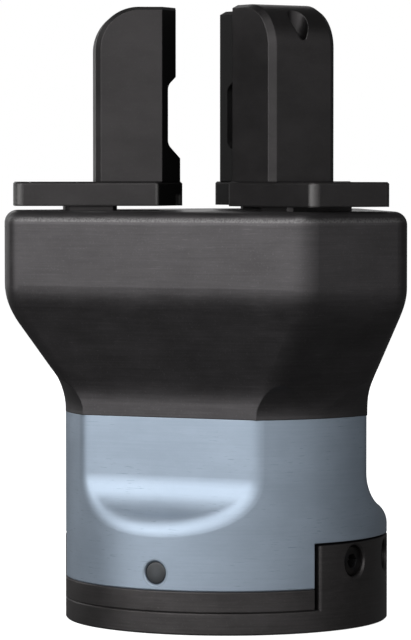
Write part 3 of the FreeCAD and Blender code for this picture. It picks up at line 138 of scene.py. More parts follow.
class Graph:
    """The node tree of one material, or of the world."""

    def __init__(self, tree: bpy.types.NodeTree) -> None:
        """Keeps the new tree and empties it."""
        self.tree = tree
        tree.nodes.clear()

    def add(self, kind: str, settings: Settings, sockets: Sockets) -> bpy.types.Node:
        """Adds any node.

        Args:
            kind: the node's type.
            settings: its properties, set first.
            sockets: values or wires for its inputs, by name or number, with no alpha in a colour.

        Returns:
            The node.
        """
        made = self.tree.nodes.new(kind)
        for name, value in settings.items():
            setattr(made, name, value)
        for name, value in sockets.items():
            socket = made.inputs[name]
            if isinstance(value, Wire):
                self.tree.links.new(value.socket, socket)
            else:
                socket.default_value = (*value, 1.0) if socket.type == "RGBA" else value
        return made

    def node(self, kind: str, settings: Settings, sockets: Sockets, out: Union[str, int] = 0) -> Wire:
        """Adds any node, as add does, and takes one of its outputs."""
        return Wire(self, self.add(kind, settings, sockets).outputs[out])

    def mapped(self, vector: Wire, scale: Point, centre: Point = (0, 0, 0), turn: Point = (0, 0, 0)) -> Wire:
        """A vector moved to a centre, turned and stretched.

        Args:
            vector: the vector to map.
            scale: how many times each axis is stretched.
            centre: the point that becomes the origin, in metres.
            turn: turns about the axes, in radians.

        Returns:
            The mapped vector.
        """
        moved = self.node("ShaderNodeVectorMath", {"operation": "SUBTRACT"}, {0: vector, 1: centre})
        turned = self.node("ShaderNodeMapping", {"vector_type": "POINT"}, {"Vector": moved, "Rotation": turn})
        return self.node("ShaderNodeVectorMath", {"operation": "MULTIPLY"}, {0: turned, 1: scale})

    def noise(self, vector: Wire, scale: float, detail: float = 3.0, rough: float = 0.6) -> Wire:
        """Soft noise from 0 to 1."""
        return self.node(
            "ShaderNodeTexNoise", {}, {"Vector": vector, "Scale": scale, "Detail": detail, "Roughness": rough}
        )

    def axis(self, vector: Wire, name: str) -> Wire:
        """One axis of a vector."""
        return self.node("ShaderNodeSeparateXYZ", {}, {0: vector}, name)

    def dot(self, first: Wire, second: Union[Point, Wire]) -> Wire:
        """How far one vector goes along another."""
        return self.node("ShaderNodeVectorMath", {"operation": "DOT_PRODUCT"}, {0: first, 1: second}, "Value")

    def length(self, vector: Wire) -> Wire:
        """The length of a vector."""
        return self.node("ShaderNodeVectorMath", {"operation": "LENGTH"}, {0: vector}, "Value")

    def lens_reach(self, place: Wire) -> Wire:
        """How far a point is from the axis of the body's window."""
        turn = (0.0, 0.0, math.radians(-LENS_ANGLE))
        return self.length(self.mapped(place, (1.0, 0.0, 1.0), (0.0, 0.0, LENS_Z * MM), turn))

    def sine(self, angle: Wire) -> Wire:
        """The sine of an angle in radians."""
        return self.node("ShaderNodeMath", {"operation": "SINE"}, {0: angle})

    def blend(self, share: Value, first: Union[Colour, Wire], second: Union[Colour, Wire]) -> Wire:
        """Two colours mixed, with a share of the second from 0 to 1."""
        return self.node("ShaderNodeMix", {"data_type": "RGBA"}, {0: share, 6: first, 7: second}, 2)

    def rounded(self, radius: float) -> Wire:
        """The surface's normal with its edges rounded."""
        return self.node("ShaderNodeBevel", {"samples": BEVEL_SAMPLES}, {"Radius": radius})

    def edges(self, normal: Wire, bend: float = EDGE_BEND) -> Wire:
        """A mask that is 1 along edges, where a normal from rounded leans by bend, as 1 less a cosine."""
        flat = self.node("ShaderNodeNewGeometry", {}, {}, "Normal")
        return (1.0 - self.dot(normal, flat)).eased(EDGE_ONSET * bend, bend)

    def bump(self, height: Wire, strength: float, distance: float, normal: Optional[Wire] = None) -> Wire:
        """A normal, the surface's own if none is given, raised by a height over a distance in metres."""
        sockets: Sockets = {"Height": height, "Strength": strength, "Distance": distance}
        return self.node("ShaderNodeBump", {}, {**sockets, "Normal": normal} if normal else sockets)

    def varied(self, middle: float, *parts: Tuple[float, Wire]) -> Wire:
        """A value that noises move up and down by their shares, kept between 0 and 1."""
        return sum((share * (noise - 0.5) for share, noise in parts), middle).held()

    def surface(self, tone: Wire, rough: Value, normal: Wire, **others: Any) -> None:
        """Ends the tree with a Principled shader.

        Args:
            tone: its colour.
            rough: its roughness.
            normal: its normal.
            others: its other inputs, with _ in place of the spaces in their names.
        """
        named = {name.replace("_", " "): value for name, value in others.items()}
        sockets: Sockets = {"Base Color": tone, "Roughness": rough, "Normal": normal, **named}
        shader = self.node("ShaderNodeBsdfPrincipled", {}, sockets)
        self.add("ShaderNodeOutputMaterial", {}, {"Surface": shader})


@dataclass(frozen=True)
class Finish:
    """How one kind of surface looks."""

    name: str

    def material(self) -> bpy.types.Material:
        """The material, made once and then shared.

        Returns:
            The material of this finish.
        """
        found = bpy.data.materials.get(self.name)
        if found is None:
            found = bpy.data.materials.new(self.name)
            found.use_nodes = True
            self.paint()
        return found

    def start(self) -> Tuple[Graph, Wire]:
        """The emptied graph of the finish's material, and the point on the surface in metres."""
        graph = Graph(bpy.data.materials[self.name].node_tree)
        return graph, graph.node("ShaderNodeTexCoord", {}, {}, "Object")

    def paint(self) -> None:
        """Builds the finish's nodes."""
        raise NotImplementedError


@dataclass(frozen=True)
class Anodise(Finish):
    """What the anodised finishes share: fine level brushing, soft cloudiness and paler edges."""

    colour: Colour
    deep: Colour
    pale: Colour
    edge_colour: Colour
    edge_share: float
    relief: float
    scratches: float
    brushing: float
    speckle: float
    metallic: float = 0.88
    roughness: float = 0.42
    edge_radius: float = 0.35 * MM
    relief_depth: float = 0.04 * MM
    brush_scale: Point = (70.0, 70.0, 2600.0)
    hair_scale: Point = (260.0, 260.0, 5200.0)
    cloud_scale: Point = (75.0, 75.0, 130.0)
    grain_scale: float = 2600.0

    def noises(self, graph: Graph, place: Wire) -> Tuple[Wire, Wire, Wire, Wire]:
        """Makes the noises that the finish is mixed from.

        Args:
            graph: the new material's graph.
            place: the point on the surface.

        Returns:
            The brushing, its stray hairs, the clouds and the grain.
        """
        brushed = graph.noise(graph.mapped(place, self.brush_scale), 1.0, 4.0)
        hairs = graph.noise(graph.mapped(place, self.hair_scale), 1.0, 2.0, 0.5)
        cloud = graph.noise(graph.mapped(place, self.cloud_scale), 1.0, 5.0, 0.65)
        return brushed, hairs, cloud, graph.noise(place, self.grain_scale)

    def streaked(self, graph: Graph, brushed: Wire, cloud: Wire) -> Wire:
        """The colour that the brushing and the clouds give."""
        streaks = self.brushing * brushed + (1.0 - self.brushing) * cloud
        return graph.blend(streaks.eased(0.3, 0.7), self.deep, self.colour)


@dataclass(frozen=True)
class BlackAnodise(Anodise):
    """Black anodise. Where asked, it adds a paler speckled band that is a painted highlight laid on as rubbed
    wear, paler upright edges that are painted glints, and painted shade on faces turned one way.
    """

    # a band of heights made paler and speckled: a painted highlight round the top edge, laid on as rubbed wear
    rubbed_and_highlight: Optional[Tuple[float, float]] = None
    highlight_share: float = 0.6
    highlight_rise: float = 0.15 * MM
    highlight_fall: float = 0.6 * MM
    # paler edges kept to upright edges only: painted glints
    upright_glints: bool = False
    edge_bend: float = EDGE_BEND
    # faces turned this way get painted shade, darker as if out of the light
    shade_toward: Optional[Point] = None
    painted_shade_colour: Colour = (0.012, 0.0115, 0.0118)

    def paint(self) -> None:
        """Builds the finish's nodes."""
        graph, place = self.start()
        brushed, hairs, cloud, grain = self.noises(graph, place)
        normal = graph.rounded(self.edge_radius)
        edge = graph.edges(normal, self.edge_bend)
        # painted glints: only upright edges keep the paler edge colour
        if self.upright_glints:
            lean = graph.axis(normal, "Z")
            edge = edge * (1.0 - (lean * lean).eased(0.001, 0.02))
        scratch = hairs.eased(0.62, 0.72) * cloud.eased(0.46, 0.62) * self.scratches
        tone = self.streaked(graph, brushed, cloud)
        tone = graph.blend((grain.eased(0.56, 0.74) * self.speckle + scratch).held(), tone, self.pale)
        wear_and_highlight = edge * (0.35 + 0.9 * cloud) * self.edge_share
        # painted highlight: a paler speckled band between two heights, laid on as rubbed wear
        if self.rubbed_and_highlight is not None:
            low, high = self.rubbed_and_highlight
            level = graph.axis(place, "Z")
            above = level.eased(low - self.highlight_rise, low + self.highlight_rise)
            highlight_band = above * (1.0 - level.eased(high - self.highlight_fall, high))
            wear_and_highlight = wear_and_highlight + highlight_band * grain.eased(0.3, 0.62) * self.highlight_share
        # painted shade: faces turned the given way are darkened
        if self.shade_toward is not None:
            facing = graph.node("ShaderNodeTexCoord", {}, {}, "Normal")
            tone = graph.blend(graph.dot(facing, self.shade_toward).eased(0.6, 0.8), tone, self.painted_shade_colour)
        tone = graph.blend(wear_and_highlight.held(), tone, self.edge_colour)
        rough = graph.varied(self.roughness, (0.12 * self.brushing, brushed), (0.1, grain), (0.14, cloud))
        height = self.brushing * brushed + 0.5 * grain + 0.2 * scratch
        raised = graph.bump(height, self.relief, self.relief_depth, normal)
        graph.surface(tone, rough, raised, Metallic=self.metallic)


@dataclass(frozen=True)
class BodyAnodise(Anodise):
    """The body's brushed blue-grey, with a darker ring on the chamfer round its window."""

    brush_scale: Point = (60.0, 60.0, 2100.0)
    hair_scale: Point = (300.0, 300.0, 3800.0)
    cloud_scale: Point = (60.0, 60.0, 110.0)
    grain_scale: float = 2800.0
    dark_ring_from: float = 2.6 * MM
    dark_ring_to: float = 3.2 * MM
    dark_ring_fade: float = 0.05 * MM
    dark_ring_share: float = 0.3
    dark_ring_colour: Colour = (0.16, 0.19, 0.22)
    nicked: Colour = (0.2, 0.26, 0.33)

    def paint(self) -> None:
        """Builds the finish's nodes."""
        graph, place = self.start()
        brushed, hairs, cloud, grain = self.noises(graph, place)
        normal = graph.rounded(self.edge_radius)
        scratch = hairs.eased(0.63, 0.7) * cloud.eased(0.42, 0.6) * self.scratches
        wear_and_highlight = graph.edges(normal) * (0.3 + 0.8 * cloud) * self.edge_share
        # a ring on the chamfer round the window is made darker
        reach = graph.lens_reach(place)
        beyond = reach.eased(self.dark_ring_from - self.dark_ring_fade, self.dark_ring_from)
        ring = beyond * (1.0 - reach.eased(self.dark_ring_to, self.dark_ring_to + self.dark_ring_fade))
        tone = self.streaked(graph, brushed, cloud)
        tone = graph.blend(scratch.held(), tone, self.nicked)
        tone = graph.blend((grain.eased(0.56, 0.76) * self.speckle).held(), tone, self.pale)
        tone = graph.blend(wear_and_highlight.held(), tone, self.edge_colour)
        tone = graph.blend(ring * self.dark_ring_share, tone, self.dark_ring_colour)
        rough = graph.varied(self.roughness, (0.1 * self.brushing, brushed), (0.1, grain), (0.12, cloud))
        height = 0.6 * self.brushing * brushed + 0.4 * grain - 0.4 * scratch
        raised = graph.bump(height, self.relief, self.relief_depth, normal)
        graph.surface(tone, rough, raised, Metallic=self.metallic)


@dataclass(frozen=True)
class TurnedMetal(Finish):
    """Bright metal with the fine rings that a lathe leaves about an upright axis."""

    colour: Colour
    deep: Colour
    roughness: float = 0.28
    pitch: float = 5200.0
    centre: Point = (0.0, 0.0, 0.0)
    cloud_scale: float = 180.0
    edge_radius: float = 0.15 * MM

    def paint(self) -> None:
        """Builds the finish's nodes."""
        graph, place = self.start()
        reach = graph.length(graph.mapped(place, (1.0, 1.0, 0.0), self.centre))
        level = graph.axis(place, "Z")
        steps = graph.node("ShaderNodeCombineXYZ", {}, {"X": reach * self.pitch, "Y": level * self.pitch})
        rings = graph.noise(steps, 1.0)
        cloud = graph.noise(place, self.cloud_scale, 4.0)
        tone = graph.blend((0.6 * rings + 0.4 * cloud).eased(0.3, 0.7), self.deep, self.colour)
        rough = graph.varied(self.roughness, (0.2, rings), (0.15, cloud))
        raised = graph.bump(rings, 0.3, 0.02 * MM, graph.rounded(self.edge_radius))
        graph.surface(tone, rough, raised, Metallic=1.0)


@dataclass(frozen=True)
class BlackOxide(Finish):
    """Blackened steel of a screw: a faint blue and brown bloom, a grain and edges worn paler."""

    colour: Colour = (0.014, 0.014, 0.015)
    bloom: Colour = (0.028, 0.025, 0.023)
    rubbed_and_highlight: Colour = (0.07, 0.07, 0.072)
    roughness: float = 0.4
    cloud_scale: float = 420.0
    grain_scale: float = 6800.0
    edge_radius: float = 0.12 * MM

    def paint(self) -> None:
        """Builds the finish's nodes."""
        graph, place = self.start()
        cloud = graph.noise(place, self.cloud_scale, 4.0)
        grain = graph.noise(place, self.grain_scale, 2.0, 0.5)
        normal = graph.rounded(self.edge_radius)
        edge = graph.edges(normal)
        tone = graph.blend(cloud.eased(0.4, 0.75), self.colour, self.bloom)
        tone = graph.blend((edge * (0.2 + 0.9 * cloud) * 0.7).held(), tone, self.rubbed_and_highlight)
        rough = graph.varied(self.roughness, (0.25, cloud), (0.15, grain))
        raised = graph.bump(0.5 * grain + 0.5 * cloud, 0.2, 0.03 * MM, normal)
        graph.surface(tone, rough, raised, Metallic=0.8)


@dataclass(frozen=True)
class EnamelledWire(Finish):
    """Copper coils: even turns of wire side by side, under a clear enamel."""

    colour: Colour = (0.62, 0.24, 0.09)
    deep: Colour = (0.2, 0.06, 0.02)
    wire: float = 0.45 * MM
    cloud_scale: float = 300.0

    def paint(self) -> None:
        """Builds the finish's nodes."""
        graph, place = self.start()
        reach = graph.length(graph.mapped(place, (1.0, 1.0, 0.0)))
        turns = graph.sine(reach * (math.tau / self.wire)) * 0.5 + 0.5
        cloud = graph.noise(place, self.cloud_scale)
        tone = graph.blend((turns * 0.8 + cloud * 0.3).held(), self.deep, self.colour)
        rough = graph.varied(0.32, (0.2, cloud))
        raised = graph.bump(turns, 0.7, 0.2 * MM)
        graph.surface(tone, rough, raised, Metallic=0.9, Coat_Weight=0.6, Coat_Roughness=0.15)


@dataclass(frozen=True)
class SolderMask(Finish):
    """A circuit board: lacquered glass cloth with tracks beneath it and tinned pads."""

    lacquer: Colour = (0.006, 0.075, 0.035)
    track: Colour = (0.012, 0.13, 0.06)
    pad: Colour = (0.62, 0.6, 0.52)
    track_turn: float = 0.52
    track_scale: float = 160.0
    pad_scale: float = 330.0
    pad_areas: float = 90.0
    cloth_scale: Point = (1400.0, 1400.0, 200.0)

    def paint(self) -> None:
        """Builds the finish's nodes."""
        graph, place = self.start()
        turned = graph.mapped(place, (1.0, 1.0, 1.0), (0, 0, 0), (0, 0, self.track_turn))
        tracks = graph.node(
            "ShaderNodeTexBrick", {"offset": 0.37, "squash": 1.0},
            {"Vector": turned, "Scale": self.track_scale, "Mortar Size": 0.09, "Mortar Smooth": 0.2,
             "Row Height": 0.22, "Brick Width": 1.4},
            "Fac",
        )
        cells = graph.node(
            "ShaderNodeTexVoronoi", {"feature": "F1", "distance": "CHEBYCHEV"},
            {"Vector": place, "Scale": self.pad_scale, "Randomness": 0.55}, "Distance",
        )
        cloth = graph.noise(graph.mapped(place, self.cloth_scale), 1.0, 2.0, 0.5)
        areas = graph.noise(place, self.pad_areas, 3.0, 0.55)
        pads = (1.0 - cells.eased(0.13, 0.16)) * areas.eased(0.5, 0.56)
        tone = graph.blend(tracks, self.lacquer, self.track)
        tone = graph.blend(pads, tone, self.pad)
        rough = graph.varied(0.34, (0.2, cloth))
        raised = graph.bump(0.5 * tracks + 0.6 * pads + 0.15 * cloth, 0.4, 0.05 * MM)
        coat = (0.5 - 0.5 * pads).held()
        graph.surface(tone, rough, raised, Metallic=pads * 0.9, Coat_Weight=coat, Coat_Roughness=0.2)


@dataclass(frozen=True)
class MouldedRubber(Finish):
    """Moulded rubber with a fine spark-eroded grain."""

    colour: Colour = (0.014, 0.014, 0.014)
    pale: Colour = (0.03, 0.03, 0.03)
    roughness: float = 0.72
    grain_scale: float = 2200.0
    cloud_scale: float = 150.0

    def paint(self) -> None:
        """Builds the finish's nodes."""
        graph, place = self.start()
        grain = graph.noise(place, self.grain_scale)
        cloud = graph.noise(place, self.cloud_scale)
        tone = graph.blend((0.5 * grain + 0.4 * cloud).eased(0.35, 0.8), self.colour, self.pale)
        rough = graph.varied(self.roughness, (0.2, grain), (0.1, cloud))
        graph.surface(tone, rough, graph.bump(grain, 0.4, 0.05 * MM))


@dataclass(frozen=True)
class PlatedMagnet(Finish):
    """Nickel-plated magnet, with the joints between its poles."""

    colour: Colour = (0.5, 0.48, 0.45)
    deep: Colour = (0.26, 0.25, 0.24)
    joint: Colour = (0.03, 0.03, 0.03)
    poles: int = 8
    cloud_scale: float = 260.0
    grain_scale: float = 5200.0

    def paint(self) -> None:
        """Builds the finish's nodes."""
        graph, place = self.start()
        sides = {0: graph.axis(place, "Y"), 1: graph.axis(place, "X")}
        wave = graph.sine(graph.node("ShaderNodeMath", {"operation": "ARCTAN2"}, sides) * (self.poles / 2))
        seam = 1.0 - (wave * wave).eased(0.0, 0.01)
        cloud = graph.noise(place, self.cloud_scale, 4.0)
        grain = graph.noise(place, self.grain_scale, 2.0, 0.5)
        tone = graph.blend((0.7 * cloud + 0.3 * grain).eased(0.3, 0.7), self.deep, self.colour)
        tone = graph.blend(seam * 0.8, tone, self.joint)
        rough = graph.varied(0.3, (0.25, cloud))
        graph.surface(tone, rough, graph.bump(grain - seam, 0.3, 0.03 * MM), Metallic=1.0)


@dataclass(frozen=True)
class SmokedWindow(Finish):
    """A polished smoked window, a little paler in its middle, where its light guide stands."""

    colour: Colour = (0.026, 0.029, 0.033)
    middle: Colour = (0.05, 0.056, 0.062)
    guide_r: float = 1.5 * MM
    haze_scale: float = 900.0

    def paint(self) -> None:
        """Builds the finish's nodes."""
        graph, place = self.start()
        haze = graph.noise(place, self.haze_scale)
        middle = 1.0 - graph.lens_reach(place).eased(0.2 * self.guide_r, 1.3 * self.guide_r)
        tone = graph.blend((middle * (0.75 + 0.4 * haze)).held(), self.colour, self.middle)
        rough = (0.34 + 0.16 * haze).held()
        graph.surface(tone, rough, graph.bump(haze, 0.06, 0.05 * MM), Coat_Weight=0.15, Coat_Roughness=0.2)


@dataclass(frozen=True)
class PinInsert(Finish):
    """A moulded insert whose gilt pins stand out beyond its face."""

    angle: float
    face: float
    plastic: Colour = (0.018, 0.018, 0.019)
    plastic_pale: Colour = (0.04, 0.04, 0.041)
    gilt: Colour = (0.83, 0.62, 0.26)
    gilt_deep: Colour = (0.6, 0.42, 0.16)
    grain_scale: float = 3800.0

    def paint(self) -> None:
        """Builds the finish's nodes."""
        graph, place = self.start()
        reach = graph.dot(place, toward(self.angle))
        pins = reach.eased(self.face + 0.02 * MM, self.face + 0.05 * MM)
        grain = graph.noise(place, self.grain_scale)
        tone = graph.blend(grain.eased(0.4, 0.8), self.plastic, self.plastic_pale)
        tone = graph.blend(pins, tone, graph.blend(grain, self.gilt_deep, self.gilt))
        rough = (0.5 - 0.25 * pins + 0.2 * (grain - 0.5)).held()
        graph.surface(tone, rough, graph.bump(grain, 0.25, 0.03 * MM), Metallic=pins)


@dataclass(frozen=True)
class PaleFloor(Finish):
    """A pale, even sweep of studio paper with a faint tooth."""

    colour: Colour = (0.93, 0.93, 0.93)
    pale: Colour = (0.95, 0.95, 0.95)
    tooth_scale: float = 900.0

    def paint(self) -> None:
        """Builds the finish's nodes."""
        graph, place = self.start()
        tooth = graph.noise(place, self.tooth_scale)
        tone = graph.blend(tooth, self.colour, self.pale)
        raised = graph.bump(tooth, 0.05, 0.05 * MM)
        graph.surface(tone, 0.9, raised, Emission_Color=tone, Emission_Strength=1.0)


class Bench:
    """Shapes one new mesh with the edit-mode operators."""

    def __init__(self, name: str) -> None:
        """Keeps the new piece's name."""
        self.name = name
        self.piece: Optional[bpy.types.Object] = None

    def turn(self, outline: Outline, segments: int, closed: bool = False) -> None:
        """Raises a circle step by step along an outline, as a lathe would cut it.

        Args:
            outline: (radius, height) pairs in millimetres, each radius above 0.
            segments: how many sides the circle has.
            closed: whether the last step joins the first, as in a ring, or both ends get a flat face.
        """
        radius, height = outline[0]
        bpy.ops.object.select_all(action="DESELECT")
        bpy.ops.mesh.primitive_circle_add(vertices=segments, radius=radius * MM, location=(0, 0, height * MM))
        self.piece = bpy.context.active_object
        self.piece.name = self.name
        bpy.ops.object.transform_apply(location=True)
        bpy.ops.object.mode_set(mode="EDIT")
        bpy.ops.mesh.select_mode(type="VERT")
        bpy.ops.mesh.select_all(action="SELECT")
        for next_radius, next_height in [*outline[1:], *(outline[:1] if closed else ())]:
            bpy.ops.mesh.extrude_region_move(
                TRANSFORM_OT_translate={"value": (0, 0, (next_height - height) * MM)}
            )
            scale = next_radius / radius
            bpy.ops.transform.resize(value=(scale, scale, 1), center_override=(0, 0, next_height * MM))
            radius, height = next_radius, next_height
        bpy.ops.mesh.select_all(action="SELECT")
        bpy.ops.mesh.remove_doubles(threshold=MERGE_DISTANCE)
        if not closed:
            bpy.ops.mesh.fill_holes(sides=0)
            bpy.ops.mesh.select_all(action="SELECT")
        bpy.ops.mesh.normals_make_consistent(inside=False)
        bpy.ops.object.mode_set(mode="OBJECT")

    def knurl(self, low: float, high: float, width: float, depth: float) -> None:
        """Sinks every second face round the piece's rim.

        Args:
            low: the least height of a face's middle, in millimetres.
            high: the greatest.
            width: the land that is left round each sunk face.
            depth: how far it sinks.
        """
        bpy.ops.object.mode_set(mode="EDIT")
        bpy.ops.mesh.select_mode(type="FACE")
        bpy.ops.mesh.select_all(action="DESELECT")
        mesh = bmesh.from_edit_mesh(self.piece.data)
        rim = []
        for face in mesh.faces:
            middle = face.calc_center_median()
            level = low <= middle.z / MM <= high and abs(face.normal.z) < WALL_LEAN
            if level and face.normal.dot(Vector((middle.x, middle.y, 0))) > 0:
                rim.append((math.atan2(middle.y, middle.x), face))
        rim.sort(key=lambda pair: pair[0])
        for _, face in rim[::2]:
            face.select_set(True)
        bmesh.update_edit_mesh(self.piece.data)
        bpy.ops.mesh.inset(thickness=width * MM, depth=-depth * MM, use_individual=True)
        bpy.ops.object.mode_set(mode="OBJECT")

    def cut_prism(self, sides: int, across: float, low: float, high: float) -> None:
        """Cuts an upright prism out of the piece.

        Args:
            sides: how many flats it has.
            across: its size across the flats, in millimetres.
            low: its floor.
            high: its top.
        """
        bpy.ops.object.select_all(action="DESELECT")
        bpy.ops.mesh.primitive_cylinder_add(
            vertices=sides, radius=across / 2 / math.cos(math.pi / sides) * MM, depth=(high - low) * MM,
            location=(0, 0, (high + low) / 2 * MM),
        )
        cutter = bpy.context.active_object
        cut = self.piece.modifiers.new("socket", "BOOLEAN")
        cut.object = cutter
        cut.operation = "DIFFERENCE"
        cut.solver = "EXACT"
        self.apply(cut)
        bpy.data.objects.remove(cutter)

    def apply(self, modifier: bpy.types.Modifier) -> None:
        """Applies one of the piece's modifiers.

        Args:
            modifier: the modifier, set up.
        """
        bpy.ops.object.select_all(action="DESELECT")
        self.piece.select_set(True)
        bpy.context.view_layer.objects.active = self.piece
        bpy.ops.object.modifier_apply(modifier=modifier.name)

    def break_edges(self, width: float, angle: float = 35.0) -> None:
        """Rounds the sharp edges and shades the rest smooth.

        Args:
            width: how wide the rounding is, in millimetres.
            angle: the least angle of an edge that counts as sharp, in degrees.
        """
        bevel = self.piece.modifiers.new("edges", "BEVEL")
        bevel.width = width * MM
        bevel.segments = BEVEL_FACES
        bevel.limit_method = "ANGLE"
        bevel.angle_limit = math.radians(angle)
        bevel.use_clamp_overlap = True
        self.apply(bevel)
        bpy.ops.object.shade_smooth_by_angle(angle=math.radians(angle))

    def copies(self, places: Sequence[Matrix]) -> List[bpy.types.Object]:
        """Copies the piece to each place, each copy with its own mesh, and removes the first one.

        Args:
            places: where each copy goes.

        Returns:
            The copies.
        """
        made = []
        for place in places:
            copy = self.piece.copy()
            copy.data = self.piece.data.copy()
            copy.data.transform(place)
            bpy.context.scene.collection.objects.link(copy)
            made.append(copy)
        bpy.data.objects.remove(self.piece)
        return made

    def moved(self, place: Matrix) -> bpy.types.Object:
        """The piece itself, moved to its place."""
        self.piece.data.transform(place)
        return self.piece


def dress(thing: bpy.types.Object, finish: Finish) -> None:
    """Gives an object one finish all over.

    Args:
        thing: a CAD node's object or a new piece.
        finish: its finish.
    """
    if not thing.material_slots:
        thing.data.materials.append(None)
    for slot in thing.material_slots:
        slot.material = finish.material()


def dress_nodes(finish: Finish, *nodes: str) -> None:
    """Gives CAD nodes a finish.

    Args:
        finish: the finish.
        nodes: the nodes' names.
    """
    for node in nodes:
        dress(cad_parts[node], finish)
    log.info("%s on %s", finish.name, ", ".join(nodes))


def fit(piece: bpy.types.Object, finish: Finish, body: str, slot: str, *nodes: str) -> None:
    """Finishes a new piece and puts it on its body.

    Args:
        piece: the new piece, in its place.
        finish: its finish.
        body: the body that it rides on.
        slot: not used.
        nodes: the CAD nodes that it stands for.
    """
    dress(piece, finish)
    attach(piece, body)
    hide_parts(*nodes)
    log.info("%s: %d faces on %s", piece.name, len(piece.data.polygons), body)


def outward(angle: float, reach: float, height: float, spin: float = 0.0) -> Matrix:
    """The place of a piece whose axis points straight out from the gripper's axis.

    Args:
        angle: the direction, in degrees from -Y towards +X.
        reach: how far out its origin is, in millimetres.
        height: how high its origin is.
        spin: a turn about its own axis, in degrees.

    Returns:
        The place.
    """
    out = Vector(toward(angle))
    up = Vector((0, 0, 1))
    axes = Matrix((up, out.cross(up), out)).transposed().to_4x4()
    centre = Matrix.Translation((out * reach + up * height) * MM)
    return centre @ axes @ Matrix.Rotation(math.radians(spin), 4, "Z")


def jaw_frame(angle: float) -> Matrix:
    """The turn from a jaw's own frame, whose X points out, to a direction in degrees from -Y."""
    return Matrix.Rotation(math.radians(angle - 90.0), 4, "Z")


def upright(x: float, y: float, z: float, spin: float = 0.0) -> Matrix:
    """The place of an upright piece, in millimetres, with a turn about its axis in degrees."""
    return Matrix.Translation(Vector((x, y, z)) * MM) @ Matrix.Rotation(math.radians(spin), 4, "Z")


def rings(low: float, high: float, pitch: float, shape: Outline) -> List[Tuple[float, float]]:
    """The rings of a thread.

    Args:
        low: where it starts, in millimetres.
        high: where it stops.
        pitch: how high one turn is.
        shape: one turn's radii, each with its height as a share of the pitch, the first at 0.

    Returns:
        (radius, height) pairs from low to high.
    """
    steps = []
    height = low
    while height + pitch < high:
        steps += [(radius, height + share * pitch) for radius, share in shape]
        height += pitch
    return steps + [(shape[0][0], height)]


class HeadForm(Enum):
    """The shapes that a socket screw's head comes in."""

    CAP = "cap"
    COUNTERSUNK = "countersunk"


@dataclass(frozen=True)
class SocketScrew:
    """A screw with a six-sided socket, sizes in millimetres, its seat at z = 0 and its shank down."""

    shank_r: float
    head_r: float
    head_h: float
    length: float
    across: float
    socket_depth: float
    pitch: float
    segments: int
    form: HeadForm = HeadForm.CAP
    clearance: float = 0.02
    thread_share: float = 0.55
    knurl_land: float = 0.05
    knurl_depth: float = 0.1
    socket_well: float = 0.35
    edge: float = 0.07

    def thread(self, top: float) -> List[Tuple[float, float]]:
        """The screw's end and its thread, as rings.

        Args:
            top: where the thread stops.

        Returns:
            (radius, height) pairs from the end up.
        """
        crest = self.shank_r - self.clearance
        root = self.shank_r - self.thread_share * self.pitch
        end = -self.length
        shape = ((root, 0.0), (crest, 0.4), (crest, 0.55))
        return [(root - 0.1, end), (root, end + 0.15), *rings(end + 0.3, top, self.pitch, shape)]

    def head(self) -> List[Tuple[float, float]]:
        """The head's outline, from its seat up.

        Returns:
            (radius, height) pairs.
        """
        if self.form is HeadForm.COUNTERSUNK:
            return [
                (self.shank_r - self.clearance, self.shank_r - self.head_r - 0.3),
                (self.shank_r, self.shank_r - self.head_r),
                (self.head_r - 0.12, -0.15), (self.head_r - 0.1, -0.03), (self.head_r - 0.25, 0.0),
            ]
        top = self.head_h
        return [
            (self.shank_r, -0.5), (self.shank_r, 0.0), (self.head_r - 0.15, 0.0), (self.head_r, 0.18),
            (self.head_r, top - 0.45), (self.head_r - 0.12, top - 0.18), (self.head_r - 0.4, top),
        ]

    def model(self) -> Bench:
        """Models one screw.

        Returns:
            The bench with the screw on it.
        """
        bench = Bench("screw")
        head = self.head()
        bench.turn(self.thread(head[0][1] - 0.2) + head, self.segments)
        top = head[-1][1]
        if self.form is HeadForm.CAP:
            bench.knurl(0.2, top - 0.4, self.knurl_land, self.knurl_depth)
        floor = top - self.socket_depth
        bench.cut_prism(self.segments, self.across * 0.98, floor - self.socket_well, floor + 0.1)
        bench.cut_prism(HEXAGON, self.across, floor, top + 1.0)
        bench.break_edges(self.edge)
        return bench


LUG_SCREW = SocketScrew(
    shank_r=2.0, head_r=3.5, head_h=4.0, length=6.3, across=3.0, socket_depth=2.2, pitch=0.7, segments=48
)
PLATE_SCREW = replace(LUG_SCREW, head_h=2.6, length=9.45, across=2.5, socket_depth=1.5)
FINGER_SCREW = replace(PLATE_SCREW, length=8.0, segments=32)
RACK_SCREW = SocketScrew(
    shank_r=1.25, head_r=2.25, head_h=2.5, length=8.06, across=2.0, socket_depth=1.2, pitch=0.45, segments=24
)
CARRIAGE_SCREW = replace(RACK_SCREW, length=7.6)
COVER_SCREW = SocketScrew(
    shank_r=1.5, head_r=2.75, head_h=0.0, length=9.0, across=2.0, socket_depth=1.2, pitch=0.5, segments=40,
    form=HeadForm.COUNTERSUNK,
)

